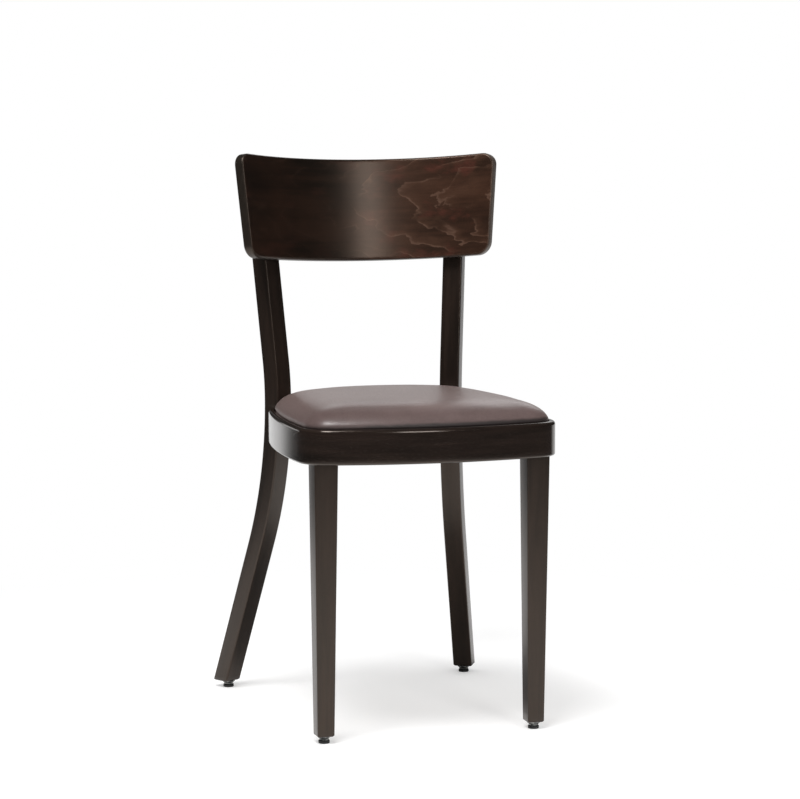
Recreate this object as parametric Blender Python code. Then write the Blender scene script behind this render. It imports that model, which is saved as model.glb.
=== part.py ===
"""Upholstered cafe chair: bent rear legs, curved backrest, ring-shaped seat frame, inset leather pad.

Metres, +Z up. The sitter looks along -Y and X is the chair's width. The origin lies on the floor, in the
middle of the chair's width and depth.
"""

from math import atan, cos, pi, radians, sin, sqrt, tan

import bmesh
import bpy
from mathutils import Matrix, Vector

for old in list(bpy.data.objects):
    bpy.data.objects.remove(old, do_unlink=True)

# Clearances
FIT_GAP = 0.0003            # between pieces that touch
BORE_GAP = 0.0003           # round a tenon or a screw, on the radius
PAD_GAP = 0.0010            # shadow line between the leather and the seat ring
RUN_OUT = 0.0040            # how far a cutter starts outside the piece that it cuts

# Seat ring, seen from above: circle arcs that run into one another, from the front's middle to the back's
SEAT_TOP = 0.4424
RING_HEIGHT = 0.0492
RING_WALL = 0.0220
FRONT_RADIUS = 0.5872
FRONT_CORNER_RADIUS = 0.0485
SIDE_LENGTH = 0.2505                # along the side arc: the seat's depth follows it
BACK_RADIUS = 0.2628
FRONT_ARC_END = radians(-74.9)      # directions that the outline faces where one arc ends
FRONT_CORNER_END = radians(-1.5)
SIDE_ARC_END = radians(12.5)
BACK_ARC_START = radians(58.4)
RING_TOP_EDGE_RADIUS = 0.0040
RING_EDGE_RADIUS = 0.0028
REBATE_INSET = 0.0098               # rim left standing round the pad
REBATE_DEPTH = 0.0132

# Front legs: square, tapered, with a round tenon
FRONT_LEG_TOP = 0.0340
FRONT_LEG_FOOT = 0.0247
FRONT_LEG_INSET = 0.0272            # from the ring's outline to the leg's middle
FRONT_LEG_FACING = radians(-43.7)   # where on the front corner the leg stands
LEG_EDGE_RADIUS = 0.0025
LEG_FOOT_CHAMFER = 0.0018
TENON_RADIUS = 0.0110
TENON_LENGTH = 0.0260

# Rear legs: bent in one upright plane each, which fans out from the seat's back
REAR_LEG_TURN = radians(29.65)
REAR_LEG_WIDTH = 0.0296
REAR_LEG_DEPTH = 0.0290
BEND_HEIGHT = 0.4470                # where the leg stands upright
LOWER_BEND_RADIUS = 0.6500
LOWER_SLOPE = radians(19.6)
UPPER_BEND_RADIUS = 0.4650
REAR_LEG_TOP_SETBACK = 0.0240       # below the backrest's upper edge

# Backrest: pressed plywood, part of a cylinder that leans back
BACK_INNER_RADIUS = 0.2923
BACK_THICKNESS = 0.0164
BACK_HEIGHT = 0.1538
BACK_HALF_ARC = 0.2062              # along the curve, half-way up
BACK_FLARE = 0.110                  # each end's lean outwards, width for height
BACK_TILT = radians(8.98)
BACK_MID_HEIGHT = 0.7323
BACK_CORNER_RADIUS = 0.0190
BACK_EDGE_RADIUS = 0.0040

# Seat pad: plywood board, foam and leather
BOARD_THICKNESS = 0.0100
LEATHER = 0.0014
HEM_WIDTH = 0.0155                  # leather turned under the board
PAD_CROWN = 0.0337
PAD_BULGE = 0.0011                  # how far the pad swells out over its lower edge
PAD_BULGE_HEIGHT = 0.0030           # its widest line, above the board
PAD_FULLNESS = 6.15                 # a higher value keeps the top flat for longer
PAD_SHOULDER = 0.663                # a lower value makes the edge rise more steeply

# Blocks glued inside the seat ring
FRONT_BLOCK_START = radians(-79.5)
FRONT_BLOCK_END = radians(0.5)
REAR_BLOCK_SPAN = radians(11.5)
REAR_BLOCK_DEPTH = 0.0240
REAR_BLOCK_RAISE = 0.0040

# Glides
FOOT_HEIGHT = 0.0100                # floor to the legs' wood
GLIDE_RADIUS = 0.0080
GLIDE_PAD_HEIGHT = 0.0042
GLIDE_NECK_RADIUS = 0.0100
GLIDE_NAIL_RADIUS = 0.0012
GLIDE_NAIL_LENGTH = 0.0160
REAR_GLIDE_INSET = 0.0045

# Screws and bolts
SCREW_RADIUS = 0.0021
SCREW_HEAD_RADIUS = 0.0042
SCREW_BITE = 0.0110                 # depth in the backrest
BACK_SCREW_SPACING = 0.0700
BOARD_SCREW_BITE = 0.0070
LEG_SCREW_BITE = 0.0070
BOLT_RADIUS = 0.0030
BOLT_HEAD_RADIUS = 0.0058
BOLT_HEAD_HEIGHT = 0.0042
BOLT_SOCKET_RADIUS = 0.0025
BOLT_SPACING = 0.0170
BOLT_BITE = 0.0190
SEAT_SCREW_INSET = 0.0310           # from the ring's outline
FRONT_SEAT_SCREW_FACING = radians(-77.0)
REAR_SEAT_SCREW_FACING = radians(83.5)

# Colours as seen: near-black stained beech, plain plywood, mauve-brown leather
STAINED_WOOD = ((0.022, 0.015, 0.011, 1.0), 0.32, 0.0)
STAINED_VENEER = ((0.034, 0.019, 0.013, 1.0), 0.28, 0.0)
PLYWOOD = ((0.55, 0.38, 0.22, 1.0), 0.60, 0.0)
FOAM = ((0.80, 0.74, 0.58, 1.0), 0.90, 0.0)
LEATHER_BROWN = ((0.110, 0.078, 0.074, 1.0), 0.45, 0.0)
STEEL = ((0.45, 0.45, 0.46, 1.0), 0.35, 1.0)
DARK_STEEL = ((0.06, 0.06, 0.06, 1.0), 0.40, 1.0)
BLACK_PLASTIC = ((0.010, 0.010, 0.010, 1.0), 0.50, 0.0)


# Helpers

def material(name, look):
    """A Principled material of one colour, roughness and metallic value."""
    made = bpy.data.materials.new(name)
    made.use_nodes = True
    shader = made.node_tree.nodes["Principled BSDF"]
    colour, roughness, metallic = look
    shader.inputs["Base Color"].default_value = colour
    shader.inputs["Roughness"].default_value = roughness
    shader.inputs["Metallic"].default_value = metallic
    made.diffuse_color = colour
    return made


def finish_mesh(name, bm, look, smooth_angle=radians(32)):
    """Makes a mesh that faces outwards, smooth on round faces, with a material of its own."""
    bmesh.ops.remove_doubles(bm, verts=bm.verts, dist=1e-7)
    if bm.calc_volume(signed=True) < 0:
        bmesh.ops.reverse_faces(bm, faces=bm.faces)
    mesh = bpy.data.meshes.new(name)
    bm.to_mesh(mesh)
    bm.free()
    mesh.shade_smooth()
    mesh.set_sharp_from_angle(angle=smooth_angle)
    mesh.materials.append(material(name, look))
    return mesh


def place(name, mesh, location=(0, 0, 0), rotation=None, parent=None):
    """One named object, put in place by its location and rotation."""
    obj = bpy.data.objects.new(name, mesh)
    bpy.context.scene.collection.objects.link(obj)
    obj.location = location
    if rotation is not None:
        obj.rotation_euler = rotation.to_euler()
    obj.parent = parent
    return obj


def loft(bm, loops, around=False, start_cap=False, end_cap=False):
    """Skins neighbouring loops of equal length with quads. A loop of one point is a pole."""
    rows = [[bm.verts.new(point) for point in loop] for loop in loops]
    pairs = list(zip(rows, rows[1:]))
    if around:
        pairs.append((rows[-1], rows[0]))
    for low, high in pairs:
        count = max(len(low), len(high))
        for i in range(count):
            j = (i + 1) % count
            if len(high) == 1:
                bm.faces.new((low[i], low[j], high[0]))
            elif len(low) == 1:
                bm.faces.new((low[0], high[j], high[i]))
            else:
                bm.faces.new((low[i], low[j], high[j], high[i]))
    if start_cap:
        bm.faces.new(list(reversed(rows[0])))
    if end_cap:
        bm.faces.new(rows[-1])
    return rows


def extrude_outline(bm, outline, bottom, top):
    """A flat outline raised from one height to another."""
    loft(bm, [[(x, y, z) for x, y in outline] for z in (bottom, top)], start_cap=True, end_cap=True)


def spin_profile(bm, profile, sides, matrix):
    """Spins (radius, height) points round Z, from the axis to the axis, and moves the result."""
    points = [bm.verts.new((radius, 0, height)) for radius, height in profile]
    edges = [bm.edges.new(pair) for pair in zip(points, points[1:])]
    before = set(bm.verts) - set(points)
    bmesh.ops.spin(bm, geom=points + edges, cent=(0, 0, 0), axis=(0, 0, 1), angle=2 * pi, steps=sides)
    made = [vert for vert in bm.verts if vert not in before]
    bmesh.ops.remove_doubles(bm, verts=made, dist=1e-6)
    made = [vert for vert in bm.verts if vert not in before]
    bmesh.ops.transform(bm, matrix=matrix, verts=made)


def turned_mesh(name, profile, look, sides=16):
    bm = bmesh.new()
    spin_profile(bm, profile, sides, Matrix())
    return finish_mesh(name, bm, look)


def axis_matrix(origin, direction):
    """Stands local Z along a direction."""
    return Matrix.Translation(origin) @ direction.to_track_quat("Z", "Y").to_matrix().to_4x4()


def cut(target, label, solids, sides=24):
    """Cuts turned solids out of the target. Each is (profile, origin, direction)."""
    bm = bmesh.new()
    for profile, origin, direction in solids:
        spin_profile(bm, profile, sides, axis_matrix(origin, direction))
    bmesh.ops.recalc_face_normals(bm, faces=bm.faces)
    cut_with(target, label, bm)


def cut_with(target, label, bm):
    """Cuts the world-space solid in a bmesh out of the target, with a Boolean that stays on it."""
    name = f"{target.name}_{label}_cutter"
    mesh = bpy.data.meshes.new(name)
    bm.to_mesh(mesh)
    bm.free()
    cutter = bpy.data.objects.new(name, mesh)
    bpy.context.scene.collection.objects.link(cutter)
    cutter.hide_render = True
    cutter.display_type = "WIRE"
    trim = target.modifiers.new(label, "BOOLEAN")
    trim.operation = "DIFFERENCE"
    trim.solver = "EXACT"
    trim.object = cutter


def bore(radius, depth, mouth=0.0):
    """A hole's profile: it starts a mouth's height above its origin and goes down by its depth."""
    return [(0, -depth), (radius, -depth), (radius, mouth), (0, mouth)]


def rounded_rectangle(half_x, half_y, radius, steps=3):
    """Corner points of a rectangle with eased corners, counter-clockwise."""
    points = []
    for corner, (x, y) in enumerate(((1, 1), (-1, 1), (-1, -1), (1, -1))):
        for i in range(steps + 1):
            angle = pi / 2 * (corner + i / steps)
            centre_x, centre_y = x * (half_x - radius), y * (half_y - radius)
            points.append((centre_x + radius * cos(angle), centre_y + radius * sin(angle)))
    return points


def circle(radius, count):
    angles = [2 * pi * (i + 0.5) / count for i in range(count)]
    return [(radius * cos(angle), radius * sin(angle)) for angle in angles]


# Seat outline

def facing(angle):
    return Vector((cos(angle), sin(angle)))


SIDE_RADIUS = SIDE_LENGTH / (SIDE_ARC_END - FRONT_CORNER_END)
ARC_ENDS = [radians(-90), FRONT_ARC_END, FRONT_CORNER_END, SIDE_ARC_END, BACK_ARC_START, radians(90)]


def side_step(radius, start, end):
    """How far across an arc carries the outline."""
    return radius * (cos(end) - cos(start))


# The rear corner's radius is the one that brings the outline back to the middle line.
REAR_CORNER_RADIUS = -(
    side_step(FRONT_RADIUS, ARC_ENDS[0], ARC_ENDS[1])
    + side_step(FRONT_CORNER_RADIUS, ARC_ENDS[1], ARC_ENDS[2])
    + side_step(SIDE_RADIUS, ARC_ENDS[2], ARC_ENDS[3])
    + side_step(BACK_RADIUS, ARC_ENDS[4], ARC_ENDS[5])
) / (cos(ARC_ENDS[4]) - cos(ARC_ENDS[3]))
ARC_RADII = [FRONT_RADIUS, FRONT_CORNER_RADIUS, SIDE_RADIUS, REAR_CORNER_RADIUS, BACK_RADIUS]


def rim_point(angle, inset=0.0):
    """The seat outline's point that faces this way, on the right half, with the front's middle at y = 0."""
    point = Vector((0.0, 0.0))
    for radius, start, end in zip(ARC_RADII, ARC_ENDS, ARC_ENDS[1:]):
        reached = min(max(angle, start), end)
        point += radius * (facing(reached) - facing(start))
    return point - inset * facing(angle)


def bend(height):
    """How far the rear leg's middle lies outside its upright part, at a height."""
    below = BEND_HEIGHT - height
    slope, radius = (LOWER_SLOPE, LOWER_BEND_RADIUS) if below > 0 else (UPPER_SLOPE, UPPER_BEND_RADIUS)
    along = abs(below)
    curved = min(along, radius * sin(slope))
    return radius - sqrt(radius ** 2 - curved ** 2) + (along - curved) * tan(slope)


RING_BOTTOM = SEAT_TOP - RING_HEIGHT
LEDGE = SEAT_TOP - REBATE_DEPTH
# The upper part of the leg lies flat against the leaning backrest.
UPPER_SLOPE = atan(tan(BACK_TILT) * cos(REAR_LEG_TURN))

# Each rear leg is cut flat where it holds the ring, and the flat runs out at the ring's underside.
REAR_FLAT = bend(RING_BOTTOM) - REAR_LEG_DEPTH / 2
REAR_LEG_FACING = radians(90) - REAR_LEG_TURN
REAR_AXIS = rim_point(REAR_LEG_FACING) + (FIT_GAP - REAR_FLAT) * facing(REAR_LEG_FACING)
REAR_FOOT = REAR_AXIS + bend(FOOT_HEIGHT + LEG_FOOT_CHAMFER) * facing(REAR_LEG_FACING)
corner_x = REAR_LEG_WIDTH / 2 - LEG_EDGE_RADIUS
corner_y = REAR_LEG_DEPTH / 2 - LEG_EDGE_RADIUS
FOOT_BACK = REAR_FOOT.y + corner_y * cos(REAR_LEG_TURN) + corner_x * sin(REAR_LEG_TURN) + LEG_EDGE_RADIUS

# The chair's depth runs from the ring's front to the rear feet's back corners.
Y_SHIFT = Vector((0.0, -FOOT_BACK / 2))


def seat_outline(inset, steps):
    """A closed outline inside the ring's, counter-clockwise, with a number of steps for each arc."""
    angles = [ARC_ENDS[0]]
    for count, start, end in zip(steps, ARC_ENDS, ARC_ENDS[1:]):
        angles += [start + (end - start) * (i + 1) / count for i in range(count)]
    right = [rim_point(angle, inset) + Y_SHIFT for angle in angles]
    left = [Vector((-p.x, p.y)) for p in reversed(right[1:-1])]
    return right + left


FINE_STEPS = (7, 10, 7, 7, 8)
SOFT_STEPS = (4, 6, 3, 5, 5)


# Seat ring

def edge_round(inset, height, radius, from_angle, to_angle, steps=3):
    """Points of a rounded edge round its centre, as (inset, height)."""
    made = []
    for i in range(steps + 1):
        angle = from_angle + (to_angle - from_angle) * i / steps
        made.append((inset - radius * cos(angle), height + radius * sin(angle)))
    return made


def ring_profile():
    """The ring's cross-section from the underside, up the outside, over the rim and down the inside."""
    r = RING_EDGE_RADIUS
    points = edge_round(r, RING_BOTTOM + r, r, radians(-90), radians(0))
    r = RING_TOP_EDGE_RADIUS
    points += edge_round(r, SEAT_TOP - r, r, radians(0), radians(90))
    points += [(REBATE_INSET, SEAT_TOP), (REBATE_INSET, LEDGE), (RING_WALL, LEDGE)]
    inner = 0.0012
    points += [(RING_WALL, RING_BOTTOM + inner), (RING_WALL - inner, RING_BOTTOM)]
    return points


bm = bmesh.new()
loft(bm, [
    [(p.x, p.y, height - RING_BOTTOM) for p in seat_outline(inset, FINE_STEPS)]
    for inset, height in ring_profile()
], around=True)
seat_ring = place("seat_ring", finish_mesh("seat_ring", bm, STAINED_WOOD), (0, 0, RING_BOTTOM))


# Front legs

FRONT_LEG = rim_point(FRONT_LEG_FACING, FRONT_LEG_INSET) + Y_SHIFT
SIDES = (("left", -1), ("right", 1))


def front_leg_mesh(name):
    """Square and tapered with eased edges, a chamfered foot and a round tenon. Its foot is at height 0."""
    shoulder = RING_BOTTOM - FIT_GAP - FOOT_HEIGHT
    foot, top, chamfer = FRONT_LEG_FOOT / 2, FRONT_LEG_TOP / 2, LEG_FOOT_CHAMFER
    small = LEG_EDGE_RADIUS
    sections = [
        (rounded_rectangle(foot - chamfer, foot - chamfer, small), 0),
        (rounded_rectangle(foot, foot, small), chamfer),
        (rounded_rectangle(top, top, small), shoulder),
    ]
    count = len(sections[0][0])
    tip = 0.0012
    sections += [
        (circle(TENON_RADIUS, count), shoulder),
        (circle(TENON_RADIUS, count), shoulder + TENON_LENGTH - tip),
        (circle(TENON_RADIUS - tip, count), shoulder + TENON_LENGTH),
    ]
    loops = [[(x, y, height) for x, y in outline] for outline, height in sections]
    bm = bmesh.new()
    loft(bm, loops, start_cap=True, end_cap=True)
    return finish_mesh(name, bm, STAINED_WOOD)


front_legs = {}
for side, sign in SIDES:
    name = f"front_{side}_leg"
    front_legs[side] = place(name, front_leg_mesh(name), (sign * FRONT_LEG.x, FRONT_LEG.y, FOOT_HEIGHT))


# Rear legs

def mirrored(vector, sign):
    """The same place or direction on the left half where the sign is -1."""
    return Vector((sign * vector[0], vector[1], vector[2]))


REAR_OUT = Vector((*facing(REAR_LEG_FACING), 0))
REAR_UPRIGHT = Vector((*(REAR_AXIS + Y_SHIFT), 0))


def rear_leg_point(offset, height):
    """A point in the right rear leg's plane: offset outwards from its middle, at a height."""
    return REAR_UPRIGHT + (bend(height) + offset) * REAR_OUT + Vector((0, 0, height))


BACK_NORMAL = (cos(UPPER_SLOPE) * REAR_OUT - Vector((0, 0, sin(UPPER_SLOPE)))).normalized()
BACK_DEPTH_AXIS = Vector((0, cos(BACK_TILT), -sin(BACK_TILT)))
BACK_OUTER_RADIUS = BACK_INNER_RADIUS + BACK_THICKNESS
# The backrest's depth is where its outer face lies against both rear legs.
leg_face = rear_leg_point(-REAR_LEG_DEPTH / 2, BACK_MID_HEIGHT)
turn_cosine = BACK_DEPTH_AXIS.dot(BACK_NORMAL)
back_y = (
    leg_face.dot(BACK_NORMAL) - BACK_MID_HEIGHT * BACK_NORMAL.z
    + BACK_INNER_RADIUS * turn_cosine - BACK_OUTER_RADIUS - FIT_GAP
) / BACK_NORMAL.y
BACK_ORIGIN = Vector((0, back_y, BACK_MID_HEIGHT))
BACK_EDGE_AT_LEG = BACK_MID_HEIGHT + BACK_OUTER_RADIUS * (1 - turn_cosine) * sin(BACK_TILT) \
    + BACK_HEIGHT / 2 * cos(BACK_TILT)
REAR_LEG_TOP = BACK_EDGE_AT_LEG - REAR_LEG_TOP_SETBACK


def rear_leg_heights():
    """Heights of the leg's sections: close together in the bends, far apart where it is straight."""
    low_end = BEND_HEIGHT - LOWER_BEND_RADIUS * sin(LOWER_SLOPE)
    high_end = BEND_HEIGHT + UPPER_BEND_RADIUS * sin(UPPER_SLOPE)
    lower = [BEND_HEIGHT - LOWER_BEND_RADIUS * sin(LOWER_SLOPE * (1 - i / 10)) for i in range(10)]
    upper = [BEND_HEIGHT + UPPER_BEND_RADIUS * sin(UPPER_SLOPE * i / 4) for i in range(4)]
    return [FOOT_HEIGHT + LEG_FOOT_CHAMFER, (FOOT_HEIGHT + low_end) / 2] + lower + upper + [
        high_end, (high_end + REAR_LEG_TOP) / 2, REAR_LEG_TOP - LEG_EDGE_RADIUS]


def rear_leg_mesh(name):
    """Level sections follow the bend. Local Y points outwards in the leg's plane."""
    half_x, half_y = REAR_LEG_WIDTH / 2, REAR_LEG_DEPTH / 2
    sections = [(FOOT_HEIGHT, LEG_FOOT_CHAMFER)]
    sections += [(height, 0) for height in rear_leg_heights()]
    sections += [(REAR_LEG_TOP, LEG_EDGE_RADIUS)]
    loops = []
    for height, narrower in sections:
        outline = rounded_rectangle(half_x - narrower, half_y - narrower, LEG_EDGE_RADIUS)
        loops.append([(x, bend(height) + y, height - FOOT_HEIGHT) for x, y in outline])
    bm = bmesh.new()
    loft(bm, loops, start_cap=True, end_cap=True)
    return finish_mesh(name, bm, STAINED_WOOD)


def seat_flat(sign):
    """The box that takes the leg's front face back to the flat where it holds the ring."""
    bm = bmesh.new()
    reach = REAR_LEG_DEPTH
    deep = Vector((REAR_LEG_WIDTH * 2, reach, RING_HEIGHT + FIT_GAP))
    corner = Matrix.Translation((0, REAR_FLAT - reach / 2, RING_BOTTOM + deep.z / 2))
    turn = Matrix.Rotation(-sign * REAR_LEG_TURN, 4, "Z")
    frame = Matrix.Translation(mirrored(REAR_UPRIGHT, sign)) @ turn
    bmesh.ops.create_cube(bm, size=1, matrix=frame @ corner @ Matrix.Diagonal((*deep, 1)))
    return bm


rear_legs = {}
for side, sign in SIDES:
    name = f"rear_{side}_leg"
    turn = Matrix.Rotation(-sign * REAR_LEG_TURN, 4, "Z")
    foot = mirrored(REAR_UPRIGHT, sign) + Vector((0, 0, FOOT_HEIGHT))
    rear_legs[side] = place(name, rear_leg_mesh(name), foot, turn)
    cut_with(rear_legs[side], "seat_flat", seat_flat(sign))


# Backrest

def back_point(along, depth, height):
    """A point of the curved panel: along its inner face, behind it, and up it from its middle."""
    angle = along / BACK_INNER_RADIUS
    radius = BACK_INNER_RADIUS + depth
    return (radius * sin(angle), radius * cos(angle) - BACK_INNER_RADIUS, height)


def back_stations():
    """(distance from the end, half height) at each upright section, from the end to the corner's start."""
    r = BACK_CORNER_RADIUS
    made = []
    for i in range(7):
        angle = pi / 2 * i / 6
        made.append((r * (1 - cos(angle)), BACK_HEIGHT / 2 - r * (1 - sin(angle))))
    return made


def back_mesh(name):
    """Upright sections follow the curve. The corners are rounded and the rims eased on both faces."""
    corner = back_stations()
    columns = 20
    sections = [(-1, inward, half) for inward, half in corner]
    sections += [(-1 + 2 * i / columns, BACK_CORNER_RADIUS, BACK_HEIGHT / 2) for i in range(1, columns)]
    sections += [(1, inward, half) for inward, half in reversed(corner)]
    loops = []
    for share, inward, half in sections:
        loop = []
        for depth, height in ((0, -half), (BACK_THICKNESS, -half), (BACK_THICKNESS, half), (0, half)):
            reach = BACK_HALF_ARC + BACK_FLARE * height - inward
            loop.append(back_point(share * reach, depth, height))
        loops.append(loop)
    bm = bmesh.new()
    loft(bm, loops, start_cap=True, end_cap=True)
    if bm.calc_volume(signed=True) < 0:
        bmesh.ops.reverse_faces(bm, faces=bm.faces)
    bm.normal_update()
    rims = [edge for edge in bm.edges if edge.calc_face_angle() > radians(60)]
    bmesh.ops.bevel(bm, geom=rims, offset=BACK_EDGE_RADIUS, segments=3, profile=0.5, affect="EDGES")
    return finish_mesh(name, bm, STAINED_VENEER)


backrest = place("backrest", back_mesh("backrest"), BACK_ORIGIN, Matrix.Rotation(-BACK_TILT, 4, "X"))


# Screws through the rear legs into the backrest

def countersunk_profile(length):
    """A wood screw with a flat head: its head's face is at height 0 and its point below."""
    cone = SCREW_HEAD_RADIUS - SCREW_RADIUS
    recess = SCREW_RADIUS * 0.8
    return [
        (0, -length), (SCREW_RADIUS, -length + 0.003), (SCREW_RADIUS, -cone - 0.0005),
        (SCREW_HEAD_RADIUS, -0.0005), (SCREW_HEAD_RADIUS, 0), (recess, 0), (recess, -0.0012), (0, -0.0012),
    ]


def pan_profile(length, radius, head_radius, head_height, recess):
    """A screw or bolt whose head stands on its seat: the seat is at height 0."""
    return [
        (0, -length), (radius, -length + radius / 2), (radius, 0), (head_radius, 0),
        (head_radius, head_height * 0.45), (head_radius * 0.75, head_height),
        (recess, head_height), (recess, head_height * 0.4), (0, head_height * 0.4),
    ]


leg_thickness = REAR_LEG_DEPTH * cos(UPPER_SLOPE)
back_screw_length = leg_thickness + FIT_GAP + SCREW_BITE
head_cone = SCREW_HEAD_RADIUS - SCREW_RADIUS
screw_room = [
    (0, -back_screw_length - BORE_GAP), (SCREW_RADIUS + BORE_GAP, -back_screw_length - BORE_GAP),
    (SCREW_RADIUS + BORE_GAP, -head_cone - 0.0005), (SCREW_HEAD_RADIUS + BORE_GAP, -0.0005),
    (SCREW_HEAD_RADIUS + BORE_GAP, RUN_OUT), (0, RUN_OUT),
]
back_screw_mesh = turned_mesh("backrest_screw", countersunk_profile(back_screw_length), DARK_STEEL)
back_screw_room = []
for side, sign in SIDES:
    rooms = []
    for place_name, shift in (("lower", -0.5), ("upper", 0.5)):
        height = BACK_MID_HEIGHT + shift * BACK_SCREW_SPACING * cos(UPPER_SLOPE)
        middle = rear_leg_point(0, height)
        head = mirrored(middle + BACK_NORMAL * leg_thickness / 2, sign)
        out = mirrored(BACK_NORMAL, sign)
        turn = out.to_track_quat("Z", "Y")
        place(f"backrest_{side}_{place_name}_screw", back_screw_mesh, head, turn)
        rooms.append((screw_room, head, out))
    cut(rear_legs[side], "screws", rooms)
    back_screw_room += rooms
cut(backrest, "screws", back_screw_room)


# Bolts through the ring into the rear legs

bolt_length = FIT_GAP + RING_WALL + FIT_GAP + BOLT_BITE
bolt_mesh = turned_mesh("rear_leg_bolt", pan_profile(
    bolt_length, BOLT_RADIUS, BOLT_HEAD_RADIUS, BOLT_HEAD_HEIGHT, BOLT_SOCKET_RADIUS), STEEL)
bolt_room = bore(BOLT_RADIUS + BORE_GAP, bolt_length + BORE_GAP, RUN_OUT)
inner_wall = Vector((*(rim_point(REAR_LEG_FACING, RING_WALL + FIT_GAP) + Y_SHIFT), 0))
bolt_middle = (RING_BOTTOM + LEDGE) / 2
ring_bolt_room = []
for side, sign in SIDES:
    rooms = []
    for place_name, shift in (("lower", -0.5), ("upper", 0.5)):
        head = mirrored(inner_wall + Vector((0, 0, bolt_middle + shift * BOLT_SPACING)), sign)
        out = mirrored(-REAR_OUT, sign)
        place(f"rear_{side}_leg_{place_name}_bolt", bolt_mesh, head, out.to_track_quat("Z", "Y"))
        rooms.append((bolt_room, head, out))
    cut(rear_legs[side], "bolts", rooms)
    ring_bolt_room += rooms
cut(seat_ring, "bolts", ring_bolt_room)


# Blocks inside the ring

def ring_angles(start, end):
    """The directions of the ring's own points between two, with both ends."""
    made = [start]
    for count, low, high in zip(FINE_STEPS, ARC_ENDS, ARC_ENDS[1:]):
        made += [low + (high - low) * (i + 1) / count for i in range(count)]
    return [start] + [angle for angle in made if start < angle < end] + [end]


BLOCK_INSET = RING_WALL + FIT_GAP
BLOCK_TOP = LEDGE - FIT_GAP
front_angles = ring_angles(FRONT_BLOCK_START, FRONT_BLOCK_END)
front_outline = [rim_point(angle, BLOCK_INSET) + Y_SHIFT for angle in front_angles]
front_blocks = {}
for side, sign in SIDES:
    outline = [(sign * (p.x - FRONT_LEG.x), p.y - FRONT_LEG.y) for p in front_outline]
    bm = bmesh.new()
    extrude_outline(bm, outline, 0, BLOCK_TOP - RING_BOTTOM)
    name = f"front_{side}_block"
    where = (sign * FRONT_LEG.x, FRONT_LEG.y, RING_BOTTOM)
    front_blocks[side] = place(name, finish_mesh(name, bm, PLYWOOD), where)

rear_half = [rim_point(angle, BLOCK_INSET) + Y_SHIFT
             for angle in ring_angles(radians(90) - REAR_BLOCK_SPAN, radians(90))]
rear_face = rear_half[-1].y - REAR_BLOCK_DEPTH
rear_outline = [(rear_half[0].x, rear_face)] + [(p.x, p.y) for p in rear_half]
rear_outline += [(-p.x, p.y) for p in reversed(rear_half[:-1])] + [(-rear_half[0].x, rear_face)]
rear_outline = [(x, y - rear_face) for x, y in rear_outline]
bm = bmesh.new()
extrude_outline(bm, rear_outline, 0, BLOCK_TOP - RING_BOTTOM - REAR_BLOCK_RAISE)
rear_block = place("rear_block", finish_mesh("rear_block", bm, PLYWOOD),
                   (0, rear_face, RING_BOTTOM + REAR_BLOCK_RAISE))


# Screws through the front blocks into the legs' tenons, and the tenons' holes

block_start, block_end = front_outline[0], front_outline[-1]
along_face = (block_end - block_start).normalized()
screw_seat = block_start + along_face * (FRONT_LEG - block_start).dot(along_face)
to_leg = Vector((*(FRONT_LEG - screw_seat), 0))
leg_screw_reach = to_leg.length - TENON_RADIUS + LEG_SCREW_BITE
to_leg.normalize()
leg_screw_length = FIT_GAP + leg_screw_reach
leg_screw_head = Vector((*screw_seat, RING_BOTTOM + TENON_LENGTH / 2)) - FIT_GAP * to_leg
leg_screw_mesh = turned_mesh("front_leg_screw", pan_profile(
    leg_screw_length, SCREW_RADIUS, SCREW_HEAD_RADIUS, 0.0026, SCREW_RADIUS * 0.8), STEEL)
leg_screw_room = bore(SCREW_RADIUS + BORE_GAP, leg_screw_length + BORE_GAP, RUN_OUT)
tenon_room = bore(TENON_RADIUS + BORE_GAP, RUN_OUT, TENON_LENGTH)
tenon_holes = []
for side, sign in SIDES:
    head = mirrored(leg_screw_head, sign)
    out = mirrored(-to_leg, sign)
    place(f"front_{side}_leg_screw", leg_screw_mesh, head, out.to_track_quat("Z", "Y"))
    tenon_foot = Vector((sign * FRONT_LEG.x, FRONT_LEG.y, RING_BOTTOM))
    tenon_hole = (tenon_room, tenon_foot, Vector((0, 0, 1)))
    tenon_holes.append(tenon_hole)
    cut(front_legs[side], "screw", [(leg_screw_room, head, out)])
    cut(front_blocks[side], "screw", [(leg_screw_room, head, out)])
    cut(front_blocks[side], "tenon", [tenon_hole], sides=32)
cut(seat_ring, "tenons", tenon_holes, sides=32)


# Seat pad

BOARD_BOTTOM = LEDGE + FIT_GAP + LEATHER + FIT_GAP
BOARD_TOP = BOARD_BOTTOM + BOARD_THICKNESS
LEATHER_INSET = REBATE_INSET + PAD_GAP
BOARD_INSET = LEATHER_INSET + LEATHER + FIT_GAP
PAD_MIDDLE = (rim_point(radians(-90)) + rim_point(radians(90))) / 2 + Y_SHIFT
PAD_ORIGIN = Vector((0, PAD_MIDDLE.y, BOARD_BOTTOM))


def pad_loop(inset, height, share=1.0):
    """The seat's outline drawn in by an inset, then shrunk towards the pad's middle."""
    if share == 0:
        return [(0, 0, height - PAD_ORIGIN.z)]
    return [((p.x - PAD_MIDDLE.x) * share, (p.y - PAD_MIDDLE.y) * share, height - PAD_ORIGIN.z)
            for p in seat_outline(inset, SOFT_STEPS)]


def crown_loops(inset, crown, rows=9):
    """Loops from the pad's widest line, steep at first and flatter towards the middle, up to a pole."""
    inset -= PAD_BULGE
    base = BOARD_TOP + PAD_BULGE_HEIGHT
    crown -= PAD_BULGE_HEIGHT
    loops = [pad_loop(inset, base)]
    for i in range(1, rows + 1):
        rise = sin(pi / 2 * i / rows)
        share = (1 - rise ** (1 / PAD_SHOULDER)) ** (1 / PAD_FULLNESS) if i < rows else 0
        loops.append(pad_loop(inset, base + crown * rise, share))
    return loops


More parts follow.
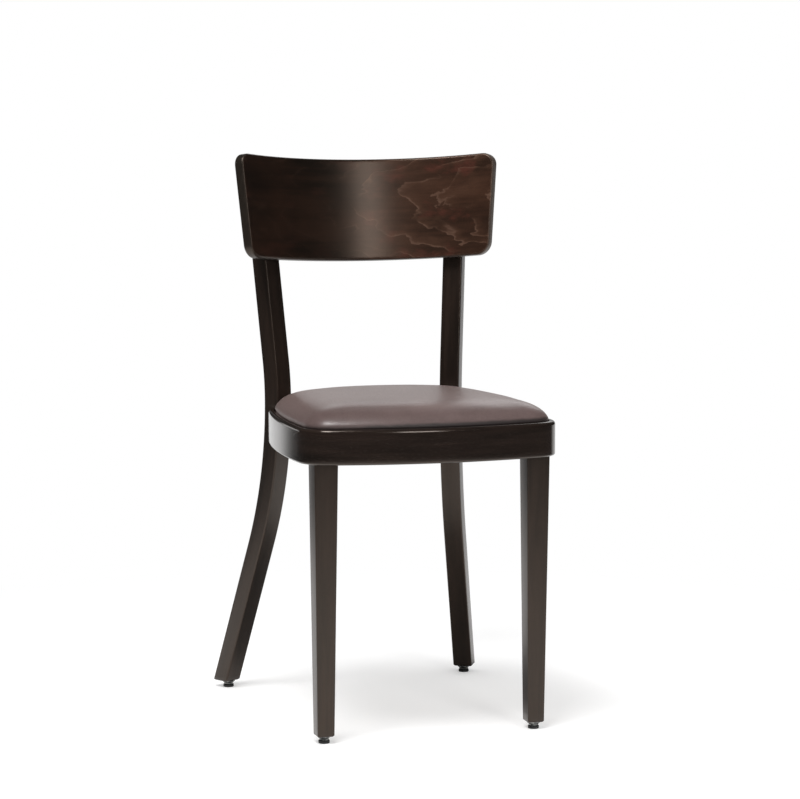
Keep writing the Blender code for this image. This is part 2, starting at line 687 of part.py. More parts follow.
board_edge = 0.0010
bm = bmesh.new()
loft(bm, [
    pad_loop(BOARD_INSET, BOARD_BOTTOM),
    pad_loop(BOARD_INSET, BOARD_TOP - board_edge),
    pad_loop(BOARD_INSET + board_edge, BOARD_TOP),
], start_cap=True, end_cap=True)
seat_board = place("seat_board", finish_mesh("seat_board", bm, PLYWOOD), PAD_ORIGIN)

bm = bmesh.new()
loft(bm, [pad_loop(BOARD_INSET, BOARD_TOP + FIT_GAP)]
     + crown_loops(BOARD_INSET, PAD_CROWN - LEATHER - FIT_GAP), start_cap=True)
place("seat_foam", finish_mesh("seat_foam", bm, FOAM), PAD_ORIGIN)

# The leather is one skin: its outer face from the hem's edge to the crown, then its inner face.
hem_bottom = LEDGE + FIT_GAP
hem_top = hem_bottom + LEATHER
hem_inset = BOARD_INSET + HEM_WIDTH
fold = LEATHER * 0.7
bm = bmesh.new()
loft(bm, [
    pad_loop(hem_inset, hem_bottom),
    pad_loop(LEATHER_INSET + fold, hem_bottom),
    pad_loop(LEATHER_INSET, hem_bottom + fold),
    pad_loop(LEATHER_INSET, BOARD_TOP),
] + crown_loops(LEATHER_INSET, PAD_CROWN))
inside = bmesh.new()
loft(inside, [
    pad_loop(hem_inset, hem_top),
    pad_loop(LEATHER_INSET + LEATHER, hem_top),
    pad_loop(LEATHER_INSET + LEATHER, BOARD_TOP),
] + crown_loops(LEATHER_INSET + LEATHER, PAD_CROWN - LEATHER))
bmesh.ops.reverse_faces(inside, faces=inside.faces)
skin = bpy.data.meshes.new("seat_cover_inner_face")
inside.to_mesh(skin)
inside.free()
bm.from_mesh(skin)
bpy.data.meshes.remove(skin)
edges = [edge for edge in bm.edges if edge.is_boundary]
bmesh.ops.bridge_loops(bm, edges=edges)
place("seat_cover", finish_mesh("seat_cover", bm, LEATHER_BROWN, radians(40)), PAD_ORIGIN)


# Screws through the blocks into the board

board_holes = []
for place_name, angle, base, block_of in (
    ("front", FRONT_SEAT_SCREW_FACING, RING_BOTTOM, front_blocks),
    ("rear", REAR_SEAT_SCREW_FACING, RING_BOTTOM + REAR_BLOCK_RAISE, None),
):
    spot = rim_point(angle, SEAT_SCREW_INSET) + Y_SHIFT
    length = FIT_GAP + BOARD_BOTTOM - base + BOARD_SCREW_BITE
    room = bore(SCREW_RADIUS + BORE_GAP, length + BORE_GAP, RUN_OUT)
    mesh = turned_mesh(f"{place_name}_seat_screw", pan_profile(
        length, SCREW_RADIUS, SCREW_HEAD_RADIUS, 0.0026, SCREW_RADIUS * 0.8), STEEL)
    holes = []
    for side, sign in SIDES:
        head = Vector((sign * spot.x, spot.y, base - FIT_GAP))
        down = Vector((0, 0, -1))
        place(f"{place_name}_{side}_seat_screw", mesh, head, down.to_track_quat("Z", "Y"))
        holes.append((room, head, down))
        if block_of:
            cut(block_of[side], "seat_screw", [holes[-1]])
    if not block_of:
        cut(rear_block, "seat_screws", holes)
    board_holes += holes
cut(seat_board, "screws", board_holes)


# Glides

neck_bottom = GLIDE_PAD_HEIGHT + FIT_GAP
neck_top = FOOT_HEIGHT - FIT_GAP
glide_edge = 0.0008
pad_mesh = turned_mesh("glide_pad", [
    (0, 0), (GLIDE_RADIUS - glide_edge, 0), (GLIDE_RADIUS, glide_edge),
    (GLIDE_RADIUS, GLIDE_PAD_HEIGHT - glide_edge), (GLIDE_RADIUS - glide_edge, GLIDE_PAD_HEIGHT),
    (0, GLIDE_PAD_HEIGHT),
], BLACK_PLASTIC, sides=24)
nail_top = neck_top + GLIDE_NAIL_LENGTH
neck_mesh = turned_mesh("glide_neck", [
    (0, neck_bottom), (GLIDE_RADIUS * 0.80, neck_bottom), (GLIDE_RADIUS * 0.84, neck_bottom + 0.0012),
    (GLIDE_NECK_RADIUS, neck_top - 0.0008), (GLIDE_NECK_RADIUS, neck_top),
    (GLIDE_NAIL_RADIUS, neck_top), (GLIDE_NAIL_RADIUS, nail_top - 0.003), (0, nail_top),
], DARK_STEEL, sides=24)
nail_room = bore(GLIDE_NAIL_RADIUS + BORE_GAP, RUN_OUT, GLIDE_NAIL_LENGTH + BORE_GAP)
rear_glide = rear_leg_point(-REAR_GLIDE_INSET, FOOT_HEIGHT)
for end, legs, spot in (("front", front_legs, FRONT_LEG), ("rear", rear_legs, rear_glide)):
    for side, sign in SIDES:
        where = (sign * spot.x, spot.y, 0)
        place(f"{end}_{side}_glide_pad", pad_mesh, where)
        place(f"{end}_{side}_glide_neck", neck_mesh, where)
        foot = Vector((sign * spot.x, spot.y, FOOT_HEIGHT))
        cut(legs[side], "nail", [(nail_room, foot, Vector((0, 0, 1)))], sides=16)
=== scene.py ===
import math

import bmesh
import bpy
import numpy as np
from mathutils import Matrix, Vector
from mathutils.kdtree import KDTree


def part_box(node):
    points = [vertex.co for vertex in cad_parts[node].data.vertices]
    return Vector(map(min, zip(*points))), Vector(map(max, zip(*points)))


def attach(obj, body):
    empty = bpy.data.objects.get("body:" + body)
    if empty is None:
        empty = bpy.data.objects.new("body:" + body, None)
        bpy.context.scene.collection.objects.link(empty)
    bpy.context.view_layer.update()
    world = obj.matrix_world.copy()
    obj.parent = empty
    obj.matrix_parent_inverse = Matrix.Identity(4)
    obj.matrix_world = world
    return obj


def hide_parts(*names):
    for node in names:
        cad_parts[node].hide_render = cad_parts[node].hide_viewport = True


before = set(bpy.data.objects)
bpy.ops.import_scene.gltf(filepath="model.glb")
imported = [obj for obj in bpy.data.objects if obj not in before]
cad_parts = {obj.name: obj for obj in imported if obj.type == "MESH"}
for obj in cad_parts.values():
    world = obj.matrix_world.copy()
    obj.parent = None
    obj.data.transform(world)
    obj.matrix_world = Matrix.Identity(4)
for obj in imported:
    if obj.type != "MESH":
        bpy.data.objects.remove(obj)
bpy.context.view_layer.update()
print("frame loaded:", len(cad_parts), "nodes")

scene = bpy.context.scene
scene.view_settings.view_transform = "Standard"


class Wire:  # a socket that takes part in Python expressions
    def __init__(self, paint, socket):
        self.paint = paint
        self.socket = socket

    def math(self, operation, *others, clamp=False):
        values = dict(enumerate((self, *others)))
        return self.paint.node("ShaderNodeMath", {"operation": operation, "use_clamp": clamp}, values)

    def __add__(self, other):
        return self.math("ADD", other)

    def __sub__(self, other):
        return self.math("SUBTRACT", other)

    def __rsub__(self, other):
        return self.paint.node("ShaderNodeMath", {"operation": "SUBTRACT"}, {0: other, 1: self})

    def __mul__(self, other):
        return self.math("MULTIPLY", other)

    __radd__ = __add__
    __rmul__ = __mul__

    def ease(self, low, high):  # smooth step: 0 below low, 1 above high
        settings = {"interpolation_type": "SMOOTHSTEP"}
        return self.paint.node("ShaderNodeMapRange", settings, {0: self, 1: low, 2: high})


def colourOf(value):  # a wire, a colour, or one number for a grey
    if isinstance(value, Wire):
        return value
    return (*value, 1) if isinstance(value, tuple) else (value, value, value, 1)


class Paint:  # a material, or the world, with its nodes
    def __init__(self, name, world=False):
        home = bpy.data.worlds if world else bpy.data.materials
        self.made = home.new(name)
        self.made.use_nodes = True
        self.tree = self.made.node_tree
        self.tree.nodes.clear()
        self.end = self.tree.nodes.new("ShaderNodeOutputWorld" if world else "ShaderNodeOutputMaterial")

    def node(self, kind, settings=None, sockets=None, out=0):
        made = self.tree.nodes.new(kind)
        for key, value in (settings or {}).items():
            setattr(made, key, value)
        for key, value in (sockets or {}).items():
            if isinstance(value, Wire):
                self.tree.links.new(value.socket, made.inputs[key])
            else:
                made.inputs[key].default_value = value
        return Wire(self, made.outputs[out])

    def finish(self, shader):
        self.tree.links.new(shader.socket, self.end.inputs[0])
        return self.made

    def surface(self, sockets):
        return self.finish(self.node("ShaderNodeBsdfPrincipled", {}, sockets))

    def field(self, name):  # a number that the mesh holds at each point
        return self.node("ShaderNodeAttribute", {"attribute_name": name}, out="Fac")

    def part(self, vector, axis):
        return self.node("ShaderNodeSeparateXYZ", {}, {0: vector}, out=axis)

    def vectorMath(self, operation, *values, out="Vector"):
        return self.node("ShaderNodeVectorMath", {"operation": operation}, dict(enumerate(values)), out)

    def solidPlace(self, stretch=(1, 1, 1)):
        place = self.node("ShaderNodeTexCoord", out="Object")
        return self.node("ShaderNodeMapping", {}, {"Vector": place, "Scale": stretch})

    def noise(self, place, scale, detail, rough, twist=0.0):
        return self.node("ShaderNodeTexNoise", {}, {
            "Vector": place, "Scale": scale, "Detail": detail, "Roughness": rough, "Distortion": twist})

    def grain(self, stretch, detail, rough, twist=0.0, shift=(0, 0)):
        # noise over the piece's own metres: x along the grain, y across it
        place = self.node("ShaderNodeUVMap", {"uv_map": "grain"})
        sockets = {"Vector": place, "Scale": (*stretch, 1), "Location": (*shift, 0)}
        return self.noise(self.node("ShaderNodeMapping", {}, sockets), 1.0, detail, rough, twist)

    def blend(self, share, first, second):  # colours only
        sockets = {0: share, 6: colourOf(first), 7: colourOf(second)}
        return self.node("ShaderNodeMix", {"data_type": "RGBA"}, sockets, out=2)

    def relief(self, height, depth, strength):
        return self.node("ShaderNodeBump", {}, {"Height": height, "Distance": depth, "Strength": strength})

    def ray(self, kind):
        return self.node("ShaderNodeLightPath", out=f"Is {kind} Ray")

    def emission(self, colour, strength=1.0):
        return self.node("ShaderNodeEmission", {}, {"Color": colourOf(colour), "Strength": strength})


def lacqueredBeech(name, look):
    # stained beech under a satin lacquer: slow streaks, short dark flecks along the grain, a rubbed edge
    paint = Paint(name)
    streak = paint.grain((5, 70), 5, 0.6, 0.4)
    cloud = paint.grain((7, 16), 3, 0.5, shift=(3, 5))
    fleck = paint.grain((160, 1500), 2, 0.5).ease(0.60, 0.72)
    line = paint.grain((14, 620), 4, 0.65, shift=(1, 2))
    rub = (paint.field("edge") * paint.grain((30, 30), 4, 0.6)).ease(0.36, 0.62)
    tone = (streak * 0.55 + cloud * 0.30 + line * 0.15).ease(look["low"], look["high"])
    colour = paint.blend(tone, look["dark"], look["light"])
    colour = paint.blend(fleck * look["fleck"], colour, look["pore"])
    colour = paint.blend(rub * look["rub"], colour, look["worn"])
    height = line * 0.7 - fleck * 0.8 + streak * 0.5
    return paint.surface({
        "Base Color": colour, "Roughness": look["rough"] + streak * 0.06 + line * 0.05 + rub * 0.04,
        "Normal": paint.relief(height, look["relief"], 0.5), "IOR": 1.5,
        "Specular Tint": colourOf(look["gloss"]), "Coat Weight": look["coat"], "Coat Roughness": 0.05,
    })


def flameVeneer(name, look):
    # flat-cut beech veneer: growth rings are contours of (across^2 * bend - along * pitch + noise), and the
    # rim shows the pressed plies
    paint = Paint(name)
    uv = paint.node("ShaderNodeUVMap", {"uv_map": "grain"})
    along, across = paint.part(uv, "X"), paint.part(uv, "Y")
    wobble = paint.grain((17, 30), 3, 0.45, 0.6, shift=(0.3, 0.1)) - 0.5
    ragged = paint.grain((55, 120), 4, 0.6) - 0.5
    centre = across - look["archMiddle"]
    arch = (centre * centre * look["archBend"] - along * look["archPitch"] + wobble * look["wobble"]
            + ragged * look["ragged"])
    ring = arch.math("FRACT")  # climbs slowly, then drops at once, as a growth ring does
    drop = 1 - ring.ease(0.955, 1.0)
    line, glow = ring.ease(0.80, 0.965) * drop, ring.ease(0.25, 1.0) * drop
    patch = paint.grain((15, 30), 3, 0.6, shift=(7, 3))
    line = line * patch.ease(0.36, 0.66)
    # partly the veneer's own figure and partly painted light: towards the right the panel is browner and
    # shows its figure, lighter where more light falls, while the left stays dark
    here = along.ease(look["litFigureFrom"], look["litFigureTo"])
    streak = paint.grain((6, 150), 5, 0.62, 0.2)
    fine = paint.grain((40, 1300), 2, 0.5)
    cloud = paint.grain((6, 12), 3, 0.5, shift=(2, 9))
    blush = paint.grain((13, 24), 4, 0.6, shift=(5, 1)).ease(0.52, 0.70)
    warm = (cloud * 0.7 + streak * 0.3).ease(0.36, 0.64)
    colour = paint.blend(warm * (0.30 + here * 0.35) + here * 0.35, look["dark"], look["brown"])
    colour = paint.blend(here * (0.10 + glow * 0.55) * patch.ease(0.34, 0.62), colour, look["tan"])
    colour = paint.blend(blush * (0.10 + here * 0.70), colour, look["red"])
    colour = paint.blend((here * 0.9 + 0.1) * line * look["lineStrength"], colour, look["line"])
    colour = paint.blend(fine.ease(0.58, 0.74) * 0.45, colour, look["pore"])
    # rim: a stack of thin layers, dark and less dark, speckled where the grain is cut across, and painted
    # paler towards the right end, a painted highlight where more light falls on that end
    rim = paint.field("rim")
    layer = (paint.field("depth") * look["plies"]).math("PINGPONG", 1.0)
    speckle = paint.grain((900, 260), 3, 0.6)
    plyTone = (layer.ease(0.35, 0.65) * 0.55 + speckle * 0.9 - 0.25).math("ADD", 0.0, clamp=True)
    plies = paint.blend(plyTone, look["plyDark"], look["plyLight"])
    rightRimLight = paint.part(paint.solidPlace(), "X").ease(0.0, 0.14)
    plies = paint.blend(rightRimLight * 0.8, plies, look["rimPaintedLight"])
    height = streak * 0.5 + fine * 0.5 + line * 0.6
    return paint.surface({
        "Base Color": paint.blend(rim.ease(0.55, 0.80), colour, plies),
        "Roughness": look["rough"] + streak * 0.07 + rim * 0.10,
        "Normal": paint.relief(height, look["relief"], 0.5),
        "Specular Tint": colourOf(look["gloss"]), "IOR": 1.5,
    })


def padLeather(name, look):
    # pebbled leather: two sizes of cell for the grain, cloudy colour, duller in the creases, and painted
    # shade: darker where it goes into the groove behind the ring, in place of the shade that falls there
    paint = Paint(name)
    place = paint.solidPlace()
    warp = paint.node(
        "ShaderNodeTexNoise", {}, {"Vector": place, "Scale": 240.0, "Detail": 2.0}, out="Color")
    bent = paint.node("ShaderNodeMix", {"data_type": "VECTOR"}, {0: 0.0016, 4: place, 5: warp}, out=1)
    cell = paint.node("ShaderNodeTexVoronoi", {"feature": "SMOOTH_F1"}, {"Vector": bent, "Scale": 620.0})
    crease = paint.node(
        "ShaderNodeTexVoronoi", {"feature": "DISTANCE_TO_EDGE"}, {"Vector": bent, "Scale": 330.0})
    crease = 1 - crease.ease(0.0, 0.16)
    cloud = paint.noise(place, 9.0, 4, 0.55)
    spot = paint.noise(place, 60.0, 3, 0.6)
    # painted shade: the leather is darkened low down, where it goes into the groove beside the ring
    grooveShade = (paint.field("grooveShade") + (spot - 0.5) * 0.3).ease(0.05, 0.60)
    colour = paint.blend((cloud * 0.7 + spot * 0.3).ease(0.36, 0.64), look["dark"], look["light"])
    colour = paint.blend(crease * 0.35, colour, look["crease"])
    colour = paint.blend(grooveShade * 0.90, colour, look["grooveShade"])
    height = cell * -0.6 - crease * 0.7 + spot * 0.5
    return paint.surface({
        "Base Color": colour,
        "Roughness": look["rough"] + crease * 0.10 + spot * 0.06 - cell * 0.04 + grooveShade * 0.25,
        "Normal": paint.relief(height, look["relief"], look["grain"]), "IOR": 1.48,
        "Coat Weight": look["coat"], "Coat Roughness": 0.34,
        "Sheen Weight": look["sheen"], "Sheen Roughness": 0.35, "Sheen Tint": colourOf(look["sheenTint"]),
    })


def rawPlywood(name, look):
    # unlacquered plywood: long pale figure on the faces, flecks, and plies by height on the edges
    paint = Paint(name)
    figure = paint.noise(paint.solidPlace((60, 7, 420)), 1.0, 5, 0.6, 0.5)
    fleck = paint.noise(paint.solidPlace((900, 120, 900)), 1.0, 2, 0.5)
    ply = paint.noise(paint.solidPlace((2, 2, 620)), 1.0, 1, 0.4)
    colour = paint.blend(figure.ease(0.3, 0.7), look["pale"], look["tan"])
    colour = paint.blend(fleck.ease(0.6, 0.72) * 0.5, colour, look["fleck"])
    colour = paint.blend(ply.ease(0.45, 0.6) * 0.25, colour, look["fleck"])
    return paint.surface({
        "Base Color": colour, "Roughness": 0.62 + fleck * 0.15,
        "Normal": paint.relief(figure + fleck * 0.5, 0.0001, 0.4),
    })


def brushedMetal(name, look):
    # plated steel: faint turning marks and a cloudy plating
    paint = Paint(name)
    marks = paint.noise(paint.solidPlace((300, 300, 2600)), 1.0, 3, 0.6)
    cloud = paint.noise(paint.solidPlace(), 160.0, 3, 0.5)
    return paint.surface({
        "Base Color": paint.blend(cloud.ease(0.35, 0.65), look["dark"], look["light"]),
        "Metallic": 1.0, "Roughness": look["rough"] + marks * 0.15,
        "Normal": paint.relief(marks, 0.00002, 0.4),
    })


def mouldedPlastic(name, look):
    # moulded nylon: fine spark texture, greyed where it rubs on the floor
    paint = Paint(name)
    grit = paint.noise(paint.solidPlace(), 1400.0, 2, 0.6)
    scuff = paint.noise(paint.solidPlace((1, 1, 3)), 220.0, 4, 0.65)
    return paint.surface({
        "Base Color": paint.blend(scuff.ease(0.55, 0.75) * 0.5, look["black"], look["grey"]),
        "Roughness": 0.45 + scuff * 0.2, "Normal": paint.relief(grit, 0.00004, 0.5),
    })


def cutFoam(name, look):
    # open cells, darker in their pores
    paint = Paint(name)
    pores = paint.node("ShaderNodeTexVoronoi", {}, {"Vector": paint.solidPlace(), "Scale": 700.0})
    return paint.surface({
        "Base Color": paint.blend(pores.ease(0.1, 0.6), look["pore"], look["skin"]),
        "Roughness": 0.9 + pores * 0.05, "Normal": paint.relief(pores, 0.0004, 0.6),
    })


beech = {
    "dark": (0.0072, 0.0050, 0.0040), "light": (0.0235, 0.0146, 0.0108), "pore": (0.004, 0.003, 0.003),
    "worn": (0.060, 0.038, 0.028), "low": 0.34, "high": 0.66, "fleck": 0.6, "rub": 0.20,
    "rough": 0.25, "coat": 0.0, "relief": 0.00006, "gloss": (1.0, 0.84, 0.72),
}
ringBeech = {
    **beech, "dark": (0.0080, 0.0058, 0.0048), "light": (0.023, 0.0150, 0.0120), "rub": 0.10,
    "rough": 0.09, "coat": 0.20,
}
veneer = {
    "dark": (0.0046, 0.0030, 0.0022), "brown": (0.0470, 0.0200, 0.0115), "tan": (0.072, 0.0335, 0.0200),
    "red": (0.076, 0.0225, 0.0150), "line": (0.130, 0.074, 0.052), "pore": (0.005, 0.0030, 0.0022),
    "lineStrength": 0.62, "archMiddle": 0.010, "archBend": 330.0, "archPitch": 15.0, "wobble": 2.6,
    "ragged": 0.30, "litFigureFrom": -0.04, "litFigureTo": 0.08, "plies": 18.0,
    "plyDark": (0.0042, 0.0034, 0.0028), "plyLight": (0.024, 0.019, 0.015),
    # painted light: the paler colour that the rim's right end takes
    "rimPaintedLight": (0.085, 0.066, 0.056), "rough": 0.27, "relief": 0.00005, "gloss": (1.0, 0.80, 0.66),
}
leather = {
    "dark": (0.112, 0.077, 0.072), "light": (0.142, 0.099, 0.094), "crease": (0.055, 0.037, 0.034),
    # painted shade: the colour the leather takes low in the groove beside the ring
    "grooveShade": (0.018, 0.012, 0.011), "rough": 0.28, "relief": 0.00006, "grain": 0.50, "coat": 0.08,
    "sheen": 0.22, "sheenTint": (1.0, 0.76, 0.70),
}
finishes = {
    "beechLegs": lacqueredBeech("lacquered_beech", beech),
    "beechRing": lacqueredBeech("lacquered_beech_ring", ringBeech),
    "veneer": flameVeneer("flame_veneer", veneer),
    "leather": padLeather("brown_leather", leather),
    "plywood": rawPlywood("raw_plywood", {
        "pale": (0.62, 0.44, 0.27), "tan": (0.44, 0.28, 0.15), "fleck": (0.28, 0.16, 0.08)}),
    "zinc": brushedMetal("zinc_plated_steel", {
        "dark": (0.34, 0.34, 0.35), "light": (0.52, 0.52, 0.53), "rough": 0.30}),
    "blackSteel": brushedMetal("blackened_steel", {
        "dark": (0.035, 0.034, 0.034), "light": (0.075, 0.073, 0.071), "rough": 0.38}),
    "greySteel": brushedMetal("worn_grey_steel", {
        "dark": (0.12, 0.12, 0.12), "light": (0.52, 0.52, 0.50), "rough": 0.24}),
    "nylon": mouldedPlastic("black_nylon", {"black": 0.010, "grey": 0.05}),
    "foam": cutFoam("cut_foam", {"pore": (0.50, 0.44, 0.30), "skin": (0.80, 0.74, 0.58)}),
}
print("materials made:", len(finishes))


def gridPiece(name, points, uv, finish, wrapRows=False, sharp=38, fields=None):
    # points is rows x columns x 3, every row a closed loop; uv has one column more, for the seam.
    # A row drawn in to one point becomes a pole. A field is one number a point, or one a row.
    rows, columns = points.shape[:2]
    i = np.arange(rows if wrapRows else rows - 1)[:, None]
    j = np.arange(columns)[None, :]
    iNext, jNext = (i + 1) % rows, (j + 1) % columns
    corners = np.broadcast_arrays(
        i * columns + j, i * columns + jNext, iNext * columns + jNext, iNext * columns + j)
    mesh = bpy.data.meshes.new(name)
    mesh.from_pydata(points.reshape(-1, 3), [], np.stack(corners, axis=2).reshape(-1, 4))
    cornerUv = np.stack([uv[i, j], uv[i, j + 1], uv[i + 1, j + 1], uv[i + 1, j]], axis=2)
    mesh.uv_layers.new(name="grain").data.foreach_set("uv", cornerUv.reshape(-1).astype(np.float32))
    for field, values in (fields or {}).items():
        values = np.broadcast_to(values, (rows, columns)).reshape(-1)
        mesh.attributes.new(field, "FLOAT", "POINT").data.foreach_set("value", values.astype(np.float32))
    shell = bmesh.new()
    shell.from_mesh(mesh)
    bmesh.ops.remove_doubles(shell, verts=shell.verts, dist=1e-6)
    if shell.calc_volume(signed=True) < 0:
        bmesh.ops.reverse_faces(shell, faces=shell.faces)
    shell.to_mesh(mesh)
    shell.free()
    mesh.shade_smooth()
    mesh.set_sharp_from_angle(angle=math.radians(sharp))
    mesh.materials.append(finishes[finish])
    piece = bpy.data.objects.new(name, mesh)
    scene.collection.objects.link(piece)
    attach(piece, "root")
    return piece


def atHeight(flat, height):  # points on a level, as columns x 3
    return np.column_stack([flat, np.full(len(flat), height)])


def closed(loop):  # with its first point again at the end
    return np.vstack([loop, loop[:1]])


def lengthAlong(points):  # running length of a row of points, from 0
    steps = np.linalg.norm(np.diff(points, axis=0), axis=1)
    return np.concatenate([[0.0], np.cumsum(steps)])


def loopUv(points, alongRows, origin=(0.0, 0.0)):
    # the first number runs along the grain, the second across it, both in metres
    around = lengthAlong(closed(points[len(points) // 2]))
    up = lengthAlong(points.mean(axis=1))
    u, v = np.broadcast_arrays(up[:, None], around[None, :])
    return np.stack([u, v] if alongRows else [v, u], axis=2) + origin


def arcPoints(centre, radius, start, end, steps):
    # centre + radius * (cos turn, sin turn), with the turn from start to end in degrees
    turn = np.radians(np.linspace(start, end, steps + 1))
    return centre + radius * np.stack([np.cos(turn), np.sin(turn)], 1)


def roundedRectangle(halfX, halfY, radius, cornerSteps=6, stepsX=1, stepsY=1):
    # four quarter circles joined by straight sides, counter-clockwise, and an edge field that is
    # sin(pi * share) round each corner; the corners shrink with a rectangle too small for them
    radius = min(radius, 0.9 * halfX, 0.9 * halfY)
    bump = np.sin(np.linspace(0, math.pi, cornerSteps + 1))
    inX, inY = halfX - radius, halfY - radius
    corners = [arcPoints((x * inX, y * inY), radius, start, start + 90, cornerSteps)
               for x, y, start in ((1, 1, 0), (-1, 1, 90), (-1, -1, 180), (1, -1, 270))]
    points, edge = [], []
    for corner, following, steps in zip(corners, corners[1:] + corners[:1], (stepsX, stepsY) * 2):
        share = np.linspace(0, 1, steps + 1)[1:-1, None]
        points += [corner, corner[-1] + (following[0] - corner[-1]) * share]
        edge += [bump, np.zeros(steps - 1)]
    return np.vstack(points), np.concatenate(edge)


# Every length is in metres. The seat's outline is circle arcs that run into one another, from the front's
# middle to the back's: front, front corner, side, rear corner, back. The wall is the ring's thickness, the
# rim is the part of it beside the pad, and the rebate is how deep the pad's ledge lies. The fit gap is
# left between two pieces that touch.
fitGap = 0.0003
seat = {
    "top": 0.4424, "height": 0.0492, "wall": 0.0220, "edge": 0.0028, "topEdge": 0.0055,
    "rim": 0.0098, "rebate": 0.0132, "arcEnds": np.radians([-90, -74.9, -1.5, 12.5, 58.4, 90]),
    "front": 0.5872, "frontCorner": 0.0485, "sideLength": 0.2505, "back": 0.2628, "spacing": 0.0040,
}
ends = seat["arcEnds"]
sideRadius = seat["sideLength"] / (ends[3] - ends[2])
acrossArc = np.cos(ends[1:]) - np.cos(ends[:-1])
# this radius brings the outline back to the middle: the arcs' sideways parts add up to nothing
rearCorner = -(seat["front"] * acrossArc[0] + seat["frontCorner"] * acrossArc[1]
               + sideRadius * acrossArc[2] + seat["back"] * acrossArc[4]) / acrossArc[3]
arcRadii = np.array([seat["front"], seat["frontCorner"], sideRadius, rearCorner, seat["back"]])
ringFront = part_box("seat_ring")[0][1]
ringBottom = seat["top"] - seat["height"]
ledge = seat["top"] - seat["rebate"]


def rimPoints(facing, inset=0.0):
    # where the outline faces each angle: the sum over the arcs of radius * (direction reached - first one)
    facing = np.atleast_1d(facing)
    reached = np.clip(facing[:, None], ends[:-1], ends[1:])
    x = (arcRadii * (np.cos(reached) - np.cos(ends[:-1]))).sum(1) - inset * np.cos(facing)
    y = (arcRadii * (np.sin(reached) - np.sin(ends[:-1]))).sum(1) - inset * np.sin(facing)
    return np.stack([x, y + ringFront], 1)


def outlineAngles(spacing):
    made = [ends[:1]]
    for radius, start, end in zip(arcRadii, ends, ends[1:]):
        count = max(8, int(radius * (end - start) / spacing))
        made.append(np.linspace(start, end, count + 1)[1:])
    return np.concatenate(made)


def seatOutline(facing, inset):
    # from the back's middle round the left, the front and the right
    right = rimPoints(facing, inset)
    left = right[::-1] * (-1, 1)
    return np.vstack([left[:-1], right[:-1]])


ring = {
    "innerEdge": 0.0012, "crest": 0.0062, "fall": 0.0050, "edgeSteps": 6, "faceRows": 5, "fallRows": 8,
    "grainStart": (0.37, 0.11),
}


def seatRing():
    # The section is in pairs of inset and height. From the crest it falls to the groove beside the pad as
    # 1 - sqrt(1 - t^2).
    edge, topEdge, inner, steps = seat["edge"], seat["topEdge"], ring["innerEdge"], ring["edgeSteps"]
    face = np.linspace(ringBottom + edge, seat["top"] - topEdge, ring["faceRows"] + 2)[1:-1]
    t = np.linspace(0, 1, ring["fallRows"] + 1)[1:]
    section = np.vstack([
        arcPoints((edge, ringBottom + edge), edge, 270, 180, steps),
        np.column_stack([face * 0, face]),
        arcPoints((topEdge, seat["top"] - topEdge), topEdge, 180, 90, steps),
        np.column_stack([ring["crest"] + (seat["rim"] - ring["crest"]) * t,
                         seat["top"] - ring["fall"] * (1 - np.sqrt(1 - t ** 2))]),
        [(seat["rim"], ledge), (seat["wall"], ledge), (seat["wall"], ringBottom + inner),
         (seat["wall"] - inner, ringBottom)],
    ])
    rubbed = np.sin(np.linspace(0, math.pi, steps + 1))
    rubbed = np.concatenate([rubbed, face * 0, rubbed])
    rubbed = np.append(rubbed, np.zeros(len(section) - len(rubbed)))
    facing = outlineAngles(seat["spacing"])
    rows = np.stack([atHeight(seatOutline(facing, inset), height) for inset, height in section])
    around = lengthAlong(closed(rows[steps + 1]))  # measured on the outer face
    across = lengthAlong(closed(section))
    uv = np.stack(np.broadcast_arrays(around[None, :], across[:, None]), axis=2) + ring["grainStart"]
    made = gridPiece("seatRing", rows, uv, "beechRing", wrapRows=True, fields={"edge": rubbed[:, None]})
    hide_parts("seat_ring")
    print("seat ring:", rows.shape[0] * rows.shape[1], "points")


seatRing()


# Front legs are square and tapered, with a round tenon.
frontLeg = {
    "top": 0.0340, "foot": 0.0247, "inset": 0.0272, "facing": math.radians(-43.7),
    "edge": 0.0025, "chamfer": 0.0018, "tenonRadius": 0.0110, "tenonLength": 0.0260,
    "tenonChamfer": 0.0012, "footHeight": 0.0100, "rows": 34,
}
sides = (("left", -1), ("right", 1))
legGrain = {  # where each leg lies in the wood
    "leftFrontLeg": (1.1, -0.3), "rightFrontLeg": (2.9, 0.3),
    "leftRearLeg": (3.3, -0.6), "rightRearLeg": (6.7, 0.6),
}
chamferIn, chamferUp = np.array((1.0, 0.4)), np.array((0.0, 0.45))  # rows of a foot's chamfer, as shares


def legPiece(name, sections):  # each section is a loop of points and its edge field
    rows, edges = (np.stack(part) for part in zip(*sections))
    made = gridPiece(name, rows, loopUv(rows, True, legGrain[name]), "beechLegs", fields={"edge": edges})
    return made


